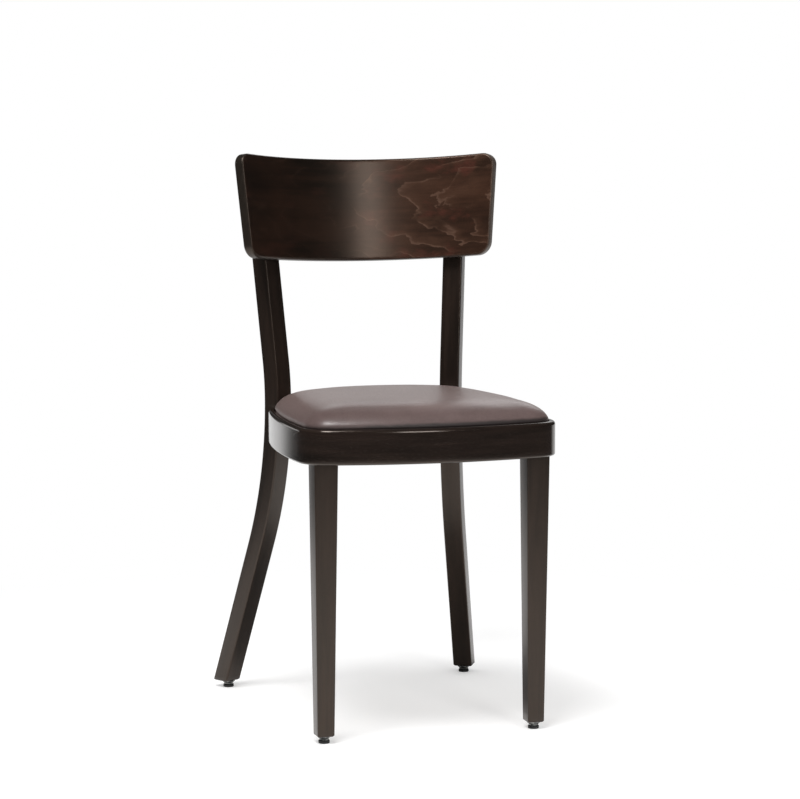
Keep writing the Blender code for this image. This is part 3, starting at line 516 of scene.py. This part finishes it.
def taperedLeg(name, side):
    # sections shrink from the shoulder to the foot: half width = foot/2 + (top - foot)/2 * height share
    centre = rimPoints(frontLeg["facing"], frontLeg["inset"])[0] * (side, 1)
    low, high = frontLeg["footHeight"], ringBottom - fitGap
    halfTop, halfFoot, chamfer = frontLeg["top"] / 2, frontLeg["foot"] / 2, frontLeg["chamfer"]
    share = np.linspace(0, 1, frontLeg["rows"])
    halves = np.concatenate([
        [0.0], halfFoot - chamfer * chamferIn, halfFoot + (halfTop - halfFoot) * share])
    heights = np.concatenate([
        [low], low + chamfer * chamferUp, low + chamfer + (high - low - chamfer) * share])
    sections = []
    for half, height in zip(halves, heights):
        flat, edge = roundedRectangle(half, half, frontLeg["edge"])
        sections.append((atHeight(flat + centre, height), edge * (half > 0)))
    turn = 2 * math.pi * (np.arange(len(flat)) + 0.5) / len(flat)
    circle = np.stack([np.cos(turn), np.sin(turn)], 1)
    reach, wide = high + frontLeg["tenonLength"], frontLeg["tenonRadius"]
    bevel = frontLeg["tenonChamfer"]
    for radius, height in ((wide, high), (wide, reach - bevel), (wide - bevel, reach), (0.0, reach)):
        sections.append((atHeight(circle * radius + centre, height), edge * 0))
    return legPiece(name, sections)


for sideName, side in sides:
    leg = taperedLeg(f"{sideName}FrontLeg", side)
    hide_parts(f"front_{sideName}_leg")
print("front legs made")


# Rear legs are level sections carried along the bend. They are turned outwards, and each part of the bend
# is an arc with a slope at its end. The setback is how far their tops lie below the backrest's.
rearLeg = {
    "turn": math.radians(29.65), "width": 0.0296, "depth": 0.0290, "edge": 0.0025, "chamfer": 0.0018,
    "bendHeight": 0.4470, "lowerRadius": 0.6500, "lowerSlope": math.radians(19.6), "upperRadius": 0.4650,
    "setback": 0.0240, "rows": 150, "topRows": 4, "crisp": 0.0001,
}
# The backrest is a sheet bent to the inner radius of its front face. The flare is how far its ends go out
# per metre of height, and the tilt leans it back.
back = {
    "inner": 0.2923, "thickness": 0.0164, "height": 0.1538, "halfArc": 0.2062, "flare": 0.110,
    "tilt": math.radians(8.98), "middle": 0.7323, "corner": 0.0190, "edge": 0.0040,
    "faceRows": 22, "edgeRows": 8, "plyRows": 4, "cornerSteps": 12, "stepsX": 110, "stepsY": 36,
    "rearGrain": 0.9,
}
upperSlope = math.atan(math.tan(back["tilt"]) * math.cos(rearLeg["turn"]))


def bend(height):
    # distance of the leg's middle outside its upright part: an arc, then a straight run at the slope
    height = np.asarray(height, float)
    below = rearLeg["bendHeight"] - height
    slope = np.where(below > 0, rearLeg["lowerSlope"], upperSlope)
    radius = np.where(below > 0, rearLeg["lowerRadius"], rearLeg["upperRadius"])
    along = np.abs(below)
    curved = np.minimum(along, radius * np.sin(slope))
    return radius - np.sqrt(radius ** 2 - curved ** 2) + (along - curved) * np.tan(slope)


# The legs touch the ring with their flats, which sets their upright parts. The backrest's rear face, a
# leaning cylinder, touches the flat front faces of the legs, which sets its distance from the middle.
outward = np.array([math.sin(rearLeg["turn"]), math.cos(rearLeg["turn"])])
sideways = np.array([math.cos(rearLeg["turn"]), -math.sin(rearLeg["turn"])])
legFlat = float(bend(ringBottom)) - rearLeg["depth"] / 2
upright = rimPoints(math.pi / 2 - rearLeg["turn"])[0] + (fitGap - legFlat) * outward
backNormal = np.array([*(math.cos(upperSlope) * outward), -math.sin(upperSlope)])
turnCosine = float(np.dot([0, math.cos(back["tilt"]), -math.sin(back["tilt"])], backNormal))
outerRadius = back["inner"] + back["thickness"]
legFace = np.array([*(upright + (bend(back["middle"]) - rearLeg["depth"] / 2) * outward), back["middle"]])
backY = (float(legFace @ backNormal) - back["middle"] * backNormal[2]
         + back["inner"] * turnCosine - outerRadius - fitGap) / backNormal[1]
legTop = (back["middle"] + outerRadius * (1 - turnCosine) * math.sin(back["tilt"])
          + back["height"] / 2 * math.cos(back["tilt"]) - rearLeg["setback"])


def bentLeg(name, side):
    low, chamfer, edgeRadius = frontLeg["footHeight"], rearLeg["chamfer"], rearLeg["edge"]
    flatTop, crisp = seat["top"] + fitGap, rearLeg["crisp"]
    straight = np.unique(np.concatenate([
        np.linspace(low + chamfer, legTop - edgeRadius, rearLeg["rows"]),
        [ringBottom - crisp, ringBottom, flatTop, flatTop + crisp / 2]]))
    turn = np.radians(np.linspace(0, 90, rearLeg["topRows"] + 1))[1:]
    heights = np.concatenate([
        [low], low + chamfer * chamferUp, straight, legTop - edgeRadius * (1 - np.sin(turn)), [legTop]])
    narrower = np.concatenate([
        [rearLeg["width"]], chamfer * chamferIn, straight * 0, edgeRadius * (1 - np.cos(turn)),
        [rearLeg["width"]]])
    sections = []
    for height, draw in zip(heights, narrower):
        halfX, halfY = max(rearLeg["width"] / 2 - draw, 0), max(rearLeg["depth"] / 2 - draw, 0)
        flat, edge = roundedRectangle(halfX, halfY, edgeRadius)
        y = flat[:, 1] + bend(height)
        if ringBottom <= height <= flatTop:  # the flat that holds the ring
            y = np.maximum(y, legFlat)
        world = upright + flat[:, :1] * sideways + y[:, None] * outward
        sections.append((atHeight(world * (side, 1), height), edge * (halfX > 0)))
    return legPiece(name, sections)


for sideName, side in sides:
    leg = bentLeg(f"{sideName}RearLeg", side)
    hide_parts(f"rear_{sideName}_leg")
print("rear legs made")


def bentSheet(flat, depth):
    # (along, up) on the flat sheet goes round the cylinder: angle = along / inner radius, then it all leans
    along = flat[:, 0] * (1 + back["flare"] * flat[:, 1] / back["halfArc"])
    angle, radius = along / back["inner"], back["inner"] + depth
    x, y, z = radius * np.sin(angle), radius * np.cos(angle) - back["inner"], flat[:, 1]
    cosine, sine = math.cos(back["tilt"]), math.sin(back["tilt"])
    return np.column_stack([x, backY + y * cosine + z * sine, back["middle"] - y * sine + z * cosine])


def backPanel():
    # Rows run from the middle of the front face out to its edge, over the rounded rim and back in to the
    # middle of the rear face. Each has a share of the outline, an inset, a depth and how much of it is rim.
    thick, edge = back["thickness"], back["edge"]
    face = np.linspace(0, 1, back["faceRows"])
    turns = np.radians(np.linspace(0, 90, back["edgeRows"]))
    plies = np.linspace(edge, thick - edge, back["plyRows"] + 2)[1:-1]
    steps = [(share, edge, 0.0, 0.0) for share in face]
    steps += [(1, edge * (1 - math.sin(a)), edge * (1 - math.cos(a)), math.sin(a)) for a in turns[1:]]
    steps += [(1, 0.0, depth, 1.0) for depth in plies]
    steps += [(1, edge * (1 - math.cos(a)), thick - edge + edge * math.sin(a), math.cos(a)) for a in turns]
    steps += [(share, edge, thick, 0.0) for share in face[-2::-1]]
    rows, uv = [], []
    for share, inset, depth, _ in steps:
        flat = share * roundedRectangle(
            back["halfArc"] - inset, back["height"] / 2 - inset, back["corner"] - inset,
            back["cornerSteps"], back["stepsX"], back["stepsY"])[0]
        rows.append(bentSheet(flat, depth))
        uv.append(closed(flat) + (0.0 if depth < thick / 2 else back["rearGrain"], depth))
    depths, rims = np.array(steps).T[2:, :, None]
    made = gridPiece("backPanel", np.stack(rows), np.stack(uv), "veneer",
                     fields={"depth": depths / thick, "rim": rims})
    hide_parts("backrest")


backPanel()
print("backrest made")


# The seat pad is leather drawn over foam, and the leather settles as cloth. The crown is measured from the
# board's top, and over the board the sides first go out by the bulge.
pad = {
    "gap": 0.0010, "leather": 0.0014, "board": 0.0100, "hem": 0.0155, "fold": 0.8, "crown": 0.0337,
    "bulge": 0.0011, "bulgeHeight": 0.0030, "fullness": 6.15, "shoulder": 0.663,
    "rows": 52, "crowding": 1.25, "boardRows": 4, "bulgeRows": 6, "spacing": 0.0060,
    "settle": 0.45, "pucker": 0.00010, "puckerHeight": 0.0060,
    "puckers": ((61, 0.4), (97, 1.9), (139, 4.1), (203, 2.6)),  # how many round the pad, and their phase
    # painted shade in the groove: its height above the ring, and a weaker share of it at the left end
    "grooveShade": 0.0085, "leftGrooveShadeShare": 0.45, "grooveShadeRampStart": -0.13, "grooveShadeRampLength": 0.10,
}
settling = {
    "held": 0.0060, "frames": 20, "most": 0.0050,
    "cloth": {
        "quality": 6, "mass": 0.3, "tension_stiffness": 20, "compression_stiffness": 20,
        "bending_stiffness": 1.5, "use_pressure": True, "uniform_pressure_force": 4.0,
        "vertex_group_mass": "held",
    },
}
leatherInset = seat["rim"] + pad["gap"]
hemInset = leatherInset + pad["leather"] + fitGap + pad["hem"]
hemHeight = ledge + fitGap
boardTop = hemHeight + pad["leather"] + fitGap + pad["board"]
padMiddle = (rimPoints(-math.pi / 2)[0] + rimPoints(math.pi / 2)[0]) / 2
padAngles = outlineAngles(pad["spacing"])


def padLoop(inset, height, share=1.0):
    return atHeight((seatOutline(padAngles, inset) - padMiddle) * share + padMiddle, height)


def crownedPad():
    # From the hem up the board's edge, out by the bulge as 1 - (1 - t)^2, then over the crown, where the
    # outline shrinks to (1 - rise^(1/shoulder))^(1/fullness).
    fold, bulge, bulgeHeight = pad["leather"] * pad["fold"], pad["bulge"], pad["bulgeHeight"]
    rows = [padLoop(hemInset, hemHeight), padLoop((hemInset + leatherInset) / 2, hemHeight)]
    rows += [padLoop(inset, height) for inset, height in
             arcPoints((leatherInset + fold, hemHeight + fold), fold, 270, 180, 3)]
    rows += [padLoop(leatherInset, height)
             for height in np.linspace(hemHeight + fold, boardTop, pad["boardRows"] + 1)[1:]]
    rows += [padLoop(leatherInset - bulge * (1 - (1 - t) ** 2), boardTop + bulgeHeight * t)
             for t in np.linspace(0, 1, pad["bulgeRows"] + 1)[1:]]
    rises = np.sin(math.pi / 2 * (np.arange(1, pad["rows"] + 1) / pad["rows"]) ** pad["crowding"])
    shares = np.append((1 - rises[:-1] ** (1 / pad["shoulder"])) ** (1 / pad["fullness"]), 0.0)
    heights = boardTop + bulgeHeight + (pad["crown"] - bulgeHeight) * rises
    rows += [padLoop(leatherInset - bulge, height, share) for height, share in zip(heights, shares)]
    return np.stack(rows)


def clothMove(rows):
    # the skin as cloth, held below the rim and blown up: how far each point of the grid moves
    sheet = gridPiece("padCloth", rows, loopUv(rows, False), "leather")
    start = np.array([vertex.co for vertex in sheet.data.vertices])
    held = sheet.vertex_groups.new(name="held")
    weights = np.clip(1 - (start[:, 2] - boardTop - pad["bulgeHeight"]) / settling["held"], 0, 1)
    for index in np.flatnonzero(weights > 0):
        held.add([int(index)], float(weights[index]), "REPLACE")
    cloth = sheet.modifiers.new("puff", "CLOTH")
    for key, value in settling["cloth"].items():
        setattr(cloth.settings, key, value)
    cloth.settings.effector_weights.gravity = 0
    cloth.collision_settings.use_collision = False
    for step in range(1, settling["frames"] + 1):
        scene.frame_set(step)
    solved = sheet.evaluated_get(bpy.context.evaluated_depsgraph_get())
    move = np.array([vertex.co for vertex in solved.data.vertices]) - start
    scene.frame_set(1)
    size = np.linalg.norm(move, axis=1, keepdims=True)
    move *= np.minimum(1, settling["most"] / np.maximum(size, 1e-9))
    tree = KDTree(len(start))
    for index, point in enumerate(start):
        tree.insert(point, index)
    tree.balance()
    near = [tree.find(point)[1] for point in rows.reshape(-1, 3)]
    bpy.data.objects.remove(sheet)
    return move[near].reshape(rows.shape)


def evened(field, reach):
    # mean of each point's neighbours: round the loops, then up the rows
    for step in range(1, reach + 1):
        field = (field + np.roll(field, step, axis=1) + np.roll(field, -step, axis=1)) / 3
        above, below = np.concatenate([field[1:], field[-1:]]), np.concatenate([field[:1], field[:-1]])
        field = (field + above + below) / 3
    return field


def outwardOf(rows):  # unit normals of a grid, away from the middle of the pad
    normal = np.cross(np.roll(rows, -1, axis=1) - np.roll(rows, 1, axis=1), np.gradient(rows, axis=0))
    length = np.linalg.norm(normal, axis=2, keepdims=True)
    normal = np.where(length > 1e-12, normal / np.maximum(length, 1e-12), (0, 0, 1))
    middle = np.array([*padMiddle, boardTop])
    return normal * np.where((normal * (rows - middle)).sum() < 0, -1, 1)


def settledPad():
    # The cloth's even swelling is left out, so that the pad keeps its full height and takes on only the
    # cloth's unevenness, fading out at the pole. Small puckers run up from the hem where the leather is
    # pulled round.
    rows = crownedPad()
    move = clothMove(rows)
    fromPole = np.linspace(1, 0, len(rows))[:, None, None]
    rows = rows + (evened(move, 3) - evened(move, 9)) * pad["settle"] * np.clip(fromPole * 3, 0, 1)
    print("cloth swelled by up to %.1f mm" % (1000 * np.linalg.norm(move, axis=2).max()))
    way = 2 * math.pi * np.arange(rows.shape[1]) / rows.shape[1]
    ripple = sum(np.sin(way * count + phase) for count, phase in pad["puckers"]) / len(pad["puckers"])
    patchy = 0.55 + 0.45 * np.sin(way * 7 + 1.0) * np.sin(way * 4 + 0.3)
    above = np.clip((rows[:, :, 2] - boardTop) / pad["puckerHeight"], 0, 1)
    fade = np.sin(math.pi * above) * np.clip(1.2 - above, 0, 1)
    return rows + outwardOf(rows) * (pad["pucker"] * fade * ripple * patchy)[:, :, None]


padRows = settledPad()
# painted shade: darken the leather from the ring's top up to this height, in place of the shade in the
# groove
paintedGrooveShade = np.clip((seat["top"] + pad["grooveShade"] - padRows[:, :, 2]) / pad["grooveShade"], 0, 1)
fromLeft = np.clip((padRows[:, :, 0] - pad["grooveShadeRampStart"]) / pad["grooveShadeRampLength"], 0, 1)
paintedGrooveShade = paintedGrooveShade * (pad["leftGrooveShadeShare"] + (1 - pad["leftGrooveShadeShare"]) * fromLeft)  # painted groove shade, made weaker at the left
seatLeather = gridPiece("seatLeather", padRows, loopUv(padRows, False), "leather", sharp=60,
                        fields={"grooveShade": paintedGrooveShade})
skin = seatLeather.modifiers.new("skin", "SOLIDIFY")
skin.thickness = pad["leather"]
skin.offset = -1
skin.use_even_offset = True
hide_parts("seat_cover")


def foamPad():
    # the crown again, from the board's top up, moved inwards along its normals by the leather and the gaps
    first = 5 + pad["boardRows"]  # six rows of hem and fold, then the board's, of which this is the last
    inner = (padRows - outwardOf(padRows) * (pad["leather"] + 2 * fitGap))[first:]
    inner[-1] = inner[-1, 0]
    inner[:, :, 2] = np.maximum(inner[:, :, 2], boardTop + fitGap)
    floor = inner[:1].copy()
    floor[:, :, 2] = boardTop + fitGap
    middle = floor.mean(axis=1, keepdims=True).repeat(floor.shape[1], axis=1)
    rows = np.concatenate([middle, floor, inner[1:]])
    made = gridPiece("seatFoam", rows, loopUv(rows, False), "foam")
    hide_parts("seat_foam")


foamPad()
print("seat pad made")


staple = {
    "width": 0.0100, "wire": 0.0007, "high": 0.0005, "inset": 0.0252, "count": 58, "uneven": 0.12,
    "askew": 0.16, "clear": 0.0080, "lookAhead": 0.0020,
}


def hemStaples():
    # one mesh of flat staple crowns under the hem, every one a box turned along the outline; none where a
    # block covers the hem
    rng = np.random.default_rng(7)
    count, uneven = staple["count"], staple["uneven"]
    line = closed(seatOutline(padAngles, staple["inset"]))
    along = lengthAlong(line)
    places = (np.arange(count) + 0.5 + rng.uniform(-uneven, uneven, count)) * along[-1] / count
    middle, ahead = (np.stack([np.interp(at % along[-1], along, line[:, axis]) for axis in (0, 1)], 1)
                     for at in (places, places + staple["lookAhead"]))
    turn = np.arctan2(*(ahead - middle).T[::-1]) + rng.normal(0, staple["askew"], count)
    clear = np.full(count, True)
    for block in ("front_left_block", "front_right_block", "rear_block"):
        low, high = (np.array(corner[:2]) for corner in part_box(block))
        inside = (middle > low - staple["clear"]) & (middle < high + staple["clear"])
        clear &= ~inside.all(axis=1)
    middle, turn = middle[clear], turn[clear, None]
    corner = np.array([(x, y, z) for z in (-1, 1) for x, y in ((-1, -1), (1, -1), (1, 1), (-1, 1))]) / 2
    size = corner * (staple["width"], staple["wire"], staple["high"])
    x = size[:, 0] * np.cos(turn) - size[:, 1] * np.sin(turn) + middle[:, :1]
    y = size[:, 0] * np.sin(turn) + size[:, 1] * np.cos(turn) + middle[:, 1:]
    z = np.broadcast_to(size[:, 2] + hemHeight - staple["high"] / 2, x.shape)
    box = np.array([(3, 2, 1, 0), (4, 5, 6, 7), (0, 1, 5, 4), (1, 2, 6, 5), (2, 3, 7, 6), (3, 0, 4, 7)])
    faces = (box[None] + 8 * np.arange(len(middle))[:, None, None]).reshape(-1, 4)
    mesh = bpy.data.meshes.new("hemStaples")
    mesh.from_pydata(np.stack([x, y, z], 2).reshape(-1, 3), [], faces)
    mesh.materials.append(finishes["zinc"])
    made = bpy.data.objects.new("hemStaples", mesh)
    scene.collection.objects.link(made)
    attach(made, "root")
    print("staples:", len(middle))


hemStaples()


glide = {
    "radius": 0.0080, "padHeight": 0.0042, "padEdge": 0.0008, "neck": 0.0100, "neckFoot": 0.80,
    "neckWaist": 0.84, "neckEdge": 0.0008, "neckCurve": 1.6, "neckRows": 7, "nail": 0.0012,
    "nailLength": 0.0160, "nailTip": 0.0030, "inset": 0.0045, "sides": 56,
    "neckSides": 132, "grooves": 22, "grooveDepth": 1 / 16,
}


def turned(name, profile, centre, finish, sides, grooves=0):
    # radius and height pairs turned round an upright line; the grooves that run down it are as deep as
    # the given share of the radius
    turn = 2 * math.pi * np.arange(sides) / sides
    reach = 1 - glide["grooveDepth"] * (1 - np.cos(turn * grooves)) / 2
    circle = np.stack([np.cos(turn) * reach, np.sin(turn) * reach], 1)
    rows = np.stack([atHeight(circle * radius + centre, height) for radius, height in profile])
    return gridPiece(name, rows, loopUv(rows, True), finish, sharp=50)


def padProfile():
    wide, edge, top = glide["radius"], glide["padEdge"], glide["padHeight"]
    lower = arcPoints((wide - edge, edge), edge, -90, 0, 4)
    upper = arcPoints((wide - edge, top - edge), edge, 0, 90, 4)
    return [(0, 0), *lower, *upper, (0, top)]


def neckProfile():
    # a collar that widens upwards as waist + (neck - waist) * t^curve, then the nail
    low, high = glide["padHeight"] + fitGap, frontLeg["footHeight"] - fitGap
    foot, waist = glide["radius"] * glide["neckFoot"], glide["radius"] * glide["neckWaist"]
    tip, t = high + glide["nailLength"], np.linspace(0, 1, glide["neckRows"])
    radii = waist + (glide["neck"] - waist) * t ** glide["neckCurve"]
    heights = low + glide["neckEdge"] + (high - low - 2 * glide["neckEdge"]) * t
    return [(0, low), (foot, low), *zip(radii, heights), (glide["neck"], high), (glide["nail"], high),
            (glide["nail"], tip - glide["nailTip"]), (0, tip)]


frontGlide = rimPoints(frontLeg["facing"], frontLeg["inset"])[0]
rearGlide = upright + (bend(frontLeg["footHeight"]) - glide["inset"]) * outward
for endName, spot in (("front", frontGlide), ("rear", rearGlide)):
    for sideName, side in sides:
        where, start = spot * (side, 1), sideName + endName.title()
        made = turned(f"{start}GlidePad", padProfile(), where, "nylon", glide["sides"])
        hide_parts(f"{endName}_{sideName}_glide_pad")
        made = turned(f"{start}GlideNeck", neckProfile(), where, "greySteel", glide["neckSides"],
                      glide["grooves"])
        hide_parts(f"{endName}_{sideName}_glide_neck")
print("glides made")


# nodes that stay as they are, with their finishes
kept = dict.fromkeys(("seat_board", "front_left_block", "front_right_block", "rear_block"), "plywood")
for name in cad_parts:
    if name.endswith(("screw", "bolt")):
        kept[name] = "blackSteel" if name.startswith("backrest_") else "zinc"
for name, finish in kept.items():
    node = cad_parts[name]
    node.data.materials.clear()
    node.data.materials.append(finishes[finish])
print("kept nodes painted:", len(kept))


# A way is an angle from straight behind the chair, to the right. A pair of numbers is where a change
# starts and ends: in a distance, a height or the cosine to a way.
studio = {
    "floorSize": 30.0, "floorSeen": 0.82, "floorBounce": 0.55, "floorGlow": 0.28,
    "whiteFloor": (0.75, 1.35),
    # the gloss floor's painted seat shadow: its colour, its middle and where it fades
    "floorMirrored": 1.30, "paintedSeatShadow": 0.38, "seatShadowMiddle": (0.06, 0.15, 0.0), "seatShadowEdge": (0.15, 0.30),
    "litFloor": (1.10, 2.30), "litFloorMiddle": (0.0, -0.1, 0.0),
    "floorFar": 0.07, "floorWay": math.radians(29.5), "floorEdge": (0.64, 0.80),
    "backdropWay": math.radians(24.5), "backdropEdge": (0.940, 0.982), "backdropTop": (0.58, 0.80),
    "backdropLow": 0.40, "backdropRise": (0.14, 0.36),
    "backdropBright": 2.0, "brightFrom": (0.30, 0.44), "brightTo": (0.56, 0.70),
    "sideWay": math.radians(-21), "sideEdge": (0.965, 0.988), "sideFrom": (-0.03, 0.01),
    "sideTo": (0.10, 0.16),
    "ambientTop": 0.80, "ambientSide": 0.32, "dark": 0.03,
    "overhead": {"place": (-0.81, -0.93, 2.90), "aim": (0.0, -0.05, 0.45), "size": (1.1, 0.8), "power": 47},
    "front": {"place": (0.52, -2.60, 1.53), "aim": (0.0, 0.1, 0.72), "size": (0.62, 1.1), "power": 14},
}


def lamp(name, look):
    data = bpy.data.lights.new(name, "AREA")
    data.shape = "RECTANGLE"
    data.size, data.size_y = look["size"]
    data.energy = look["power"]
    made = bpy.data.objects.new(name, data)
    made.location = look["place"]
    made.rotation_euler = (Vector(look["aim"]) - Vector(look["place"])).to_track_quat("-Z", "Y").to_euler()
    scene.collection.objects.link(made)


lamp("overheadBox", studio["overhead"])
lamp("frontBox", studio["front"])


def sector(paint, place, way, edge):
    # 1 inside a sector seen from the chair: the cosine between a level direction and the sector's middle
    level = paint.vectorMath("NORMALIZE", paint.vectorMath("MULTIPLY", place, (1, 1, 0)))
    middle = (math.sin(way), math.cos(way), 0)
    return paint.vectorMath("DOT_PRODUCT", level, middle, out="Value").ease(*edge)


def studioWorld():
    # The camera sees white. Gloss sees the backdrop behind the chair, brightest half way up, a narrow panel
    # to its left and a dark studio round them, and everything matt gets soft light, more of it from above.
    paint = Paint("studio", world=True)
    direction = paint.node("ShaderNodeTexCoord", out="Generated")
    up = paint.part(direction, "Z")
    backdrop = sector(paint, direction, studio["backdropWay"], studio["backdropEdge"])
    backdrop = backdrop * (1 - up.ease(*studio["backdropTop"]))
    white = paint.blend(up.ease(*studio["backdropRise"]), studio["backdropLow"], 1)
    bright = up.ease(*studio["brightFrom"]) * (1 - up.ease(*studio["brightTo"]))
    gloss = paint.blend(backdrop, studio["dark"], paint.blend(bright, white, studio["backdropBright"]))
    aside = sector(paint, direction, studio["sideWay"], studio["sideEdge"])
    aside = aside * up.ease(*studio["sideFrom"]) * (1 - up.ease(*studio["sideTo"]))
    gloss = paint.blend(aside, gloss, 1)
    matt = paint.blend(up.ease(-0.1, 0.9), studio["ambientSide"], studio["ambientTop"])
    room = paint.blend(paint.ray("Glossy"), matt, gloss)
    room = paint.blend(paint.ray("Camera"), room, 1)
    return paint.finish(paint.node("ShaderNodeBackground", {}, {"Color": room, "Strength": 1.0}))


scene.world = studioWorld()


def floorFinish():
    # Pale and matt, with the chair's shadow. Away from the chair the camera sees plain white, and gloss
    # sees the lit floor near the chair, a painted shadow under the seat, and white on towards the backdrop.
    paint = Paint("studio_floor")
    place = paint.node("ShaderNodeTexCoord", out="Object")
    seen = paint.ray("Camera")
    fromChair = paint.vectorMath("SUBTRACT", place, studio["litFloorMiddle"])
    far = paint.vectorMath("LENGTH", fromChair, out="Value")
    # painted shadow: for gloss the floor is darker in a disc under the seat, where the seat's shadow falls
    fromSeatShadow = paint.vectorMath("SUBTRACT", place, studio["seatShadowMiddle"])
    outsideSeatShadow = paint.vectorMath("LENGTH", fromSeatShadow, out="Value").ease(*studio["seatShadowEdge"])
    matt = paint.node("ShaderNodeBsdfDiffuse", {}, {
        "Color": paint.blend(seen, studio["floorBounce"], studio["floorSeen"])})
    glow = paint.emission(1, studio["floorGlow"] * seen)
    lit = paint.node("ShaderNodeAddShader", {}, {0: matt, 1: glow})
    lit = paint.node("ShaderNodeMixShader", {}, {
        0: far.ease(*studio["whiteFloor"]) * seen, 1: lit, 2: paint.emission(1)})
    near = paint.node("ShaderNodeBsdfDiffuse", {}, {
        "Color": paint.blend(outsideSeatShadow, studio["paintedSeatShadow"], studio["floorMirrored"])})
    behind = sector(paint, fromChair, studio["floorWay"], studio["floorEdge"])
    distant = paint.emission(paint.blend(behind, studio["floorFar"], 1))
    mirrored = paint.node("ShaderNodeMixShader", {}, {
        0: far.ease(*studio["litFloor"]), 1: near, 2: distant})
    return paint.finish(paint.node("ShaderNodeMixShader", {}, {
        0: paint.ray("Glossy"), 1: lit, 2: mirrored}))


half = studio["floorSize"] / 2
floorCorners = [(-half, -half, 0), (half, -half, 0), (half, half, 0), (-half, half, 0)]
floorMesh = bpy.data.meshes.new("studioFloor")
floorMesh.from_pydata(floorCorners, [], [(0, 1, 2, 3)])
floorMesh.materials.append(floorFinish())
studioFloor = bpy.data.objects.new("studioFloor", floorMesh)
scene.collection.objects.link(studioFloor)


# the camera stands at the photograph's angle
view = {
    "azimuth": math.radians(17.50), "elevation": math.radians(5.68), "distance": 3.9107,
    "aim": (0.01993, ringFront + 0.2584, 0.45692), "focalPixels": 2654.5, "frame": (800, 799),
    "centre": (399.66, 399.52), "sensor": 36.0,
}
wide, high = view["frame"]
cameraData = bpy.data.cameras.new("camera")
cameraData.sensor_width = view["sensor"]
cameraData.lens = view["focalPixels"] * view["sensor"] / wide
cameraData.shift_x = (wide / 2 - view["centre"][0]) / wide
cameraData.shift_y = (view["centre"][1] - high / 2) / wide
cameraData.clip_end = 100
camera = bpy.data.objects.new("camera", cameraData)
scene.collection.objects.link(camera)
ahead = Vector((math.sin(view["azimuth"]) * math.cos(view["elevation"]),
                math.cos(view["azimuth"]) * math.cos(view["elevation"]), -math.sin(view["elevation"])))
camera.location = Vector(view["aim"]) - view["distance"] * ahead
camera.rotation_euler = ahead.to_track_quat("-Z", "Y").to_euler()
scene.camera = camera
print("studio and camera ready")
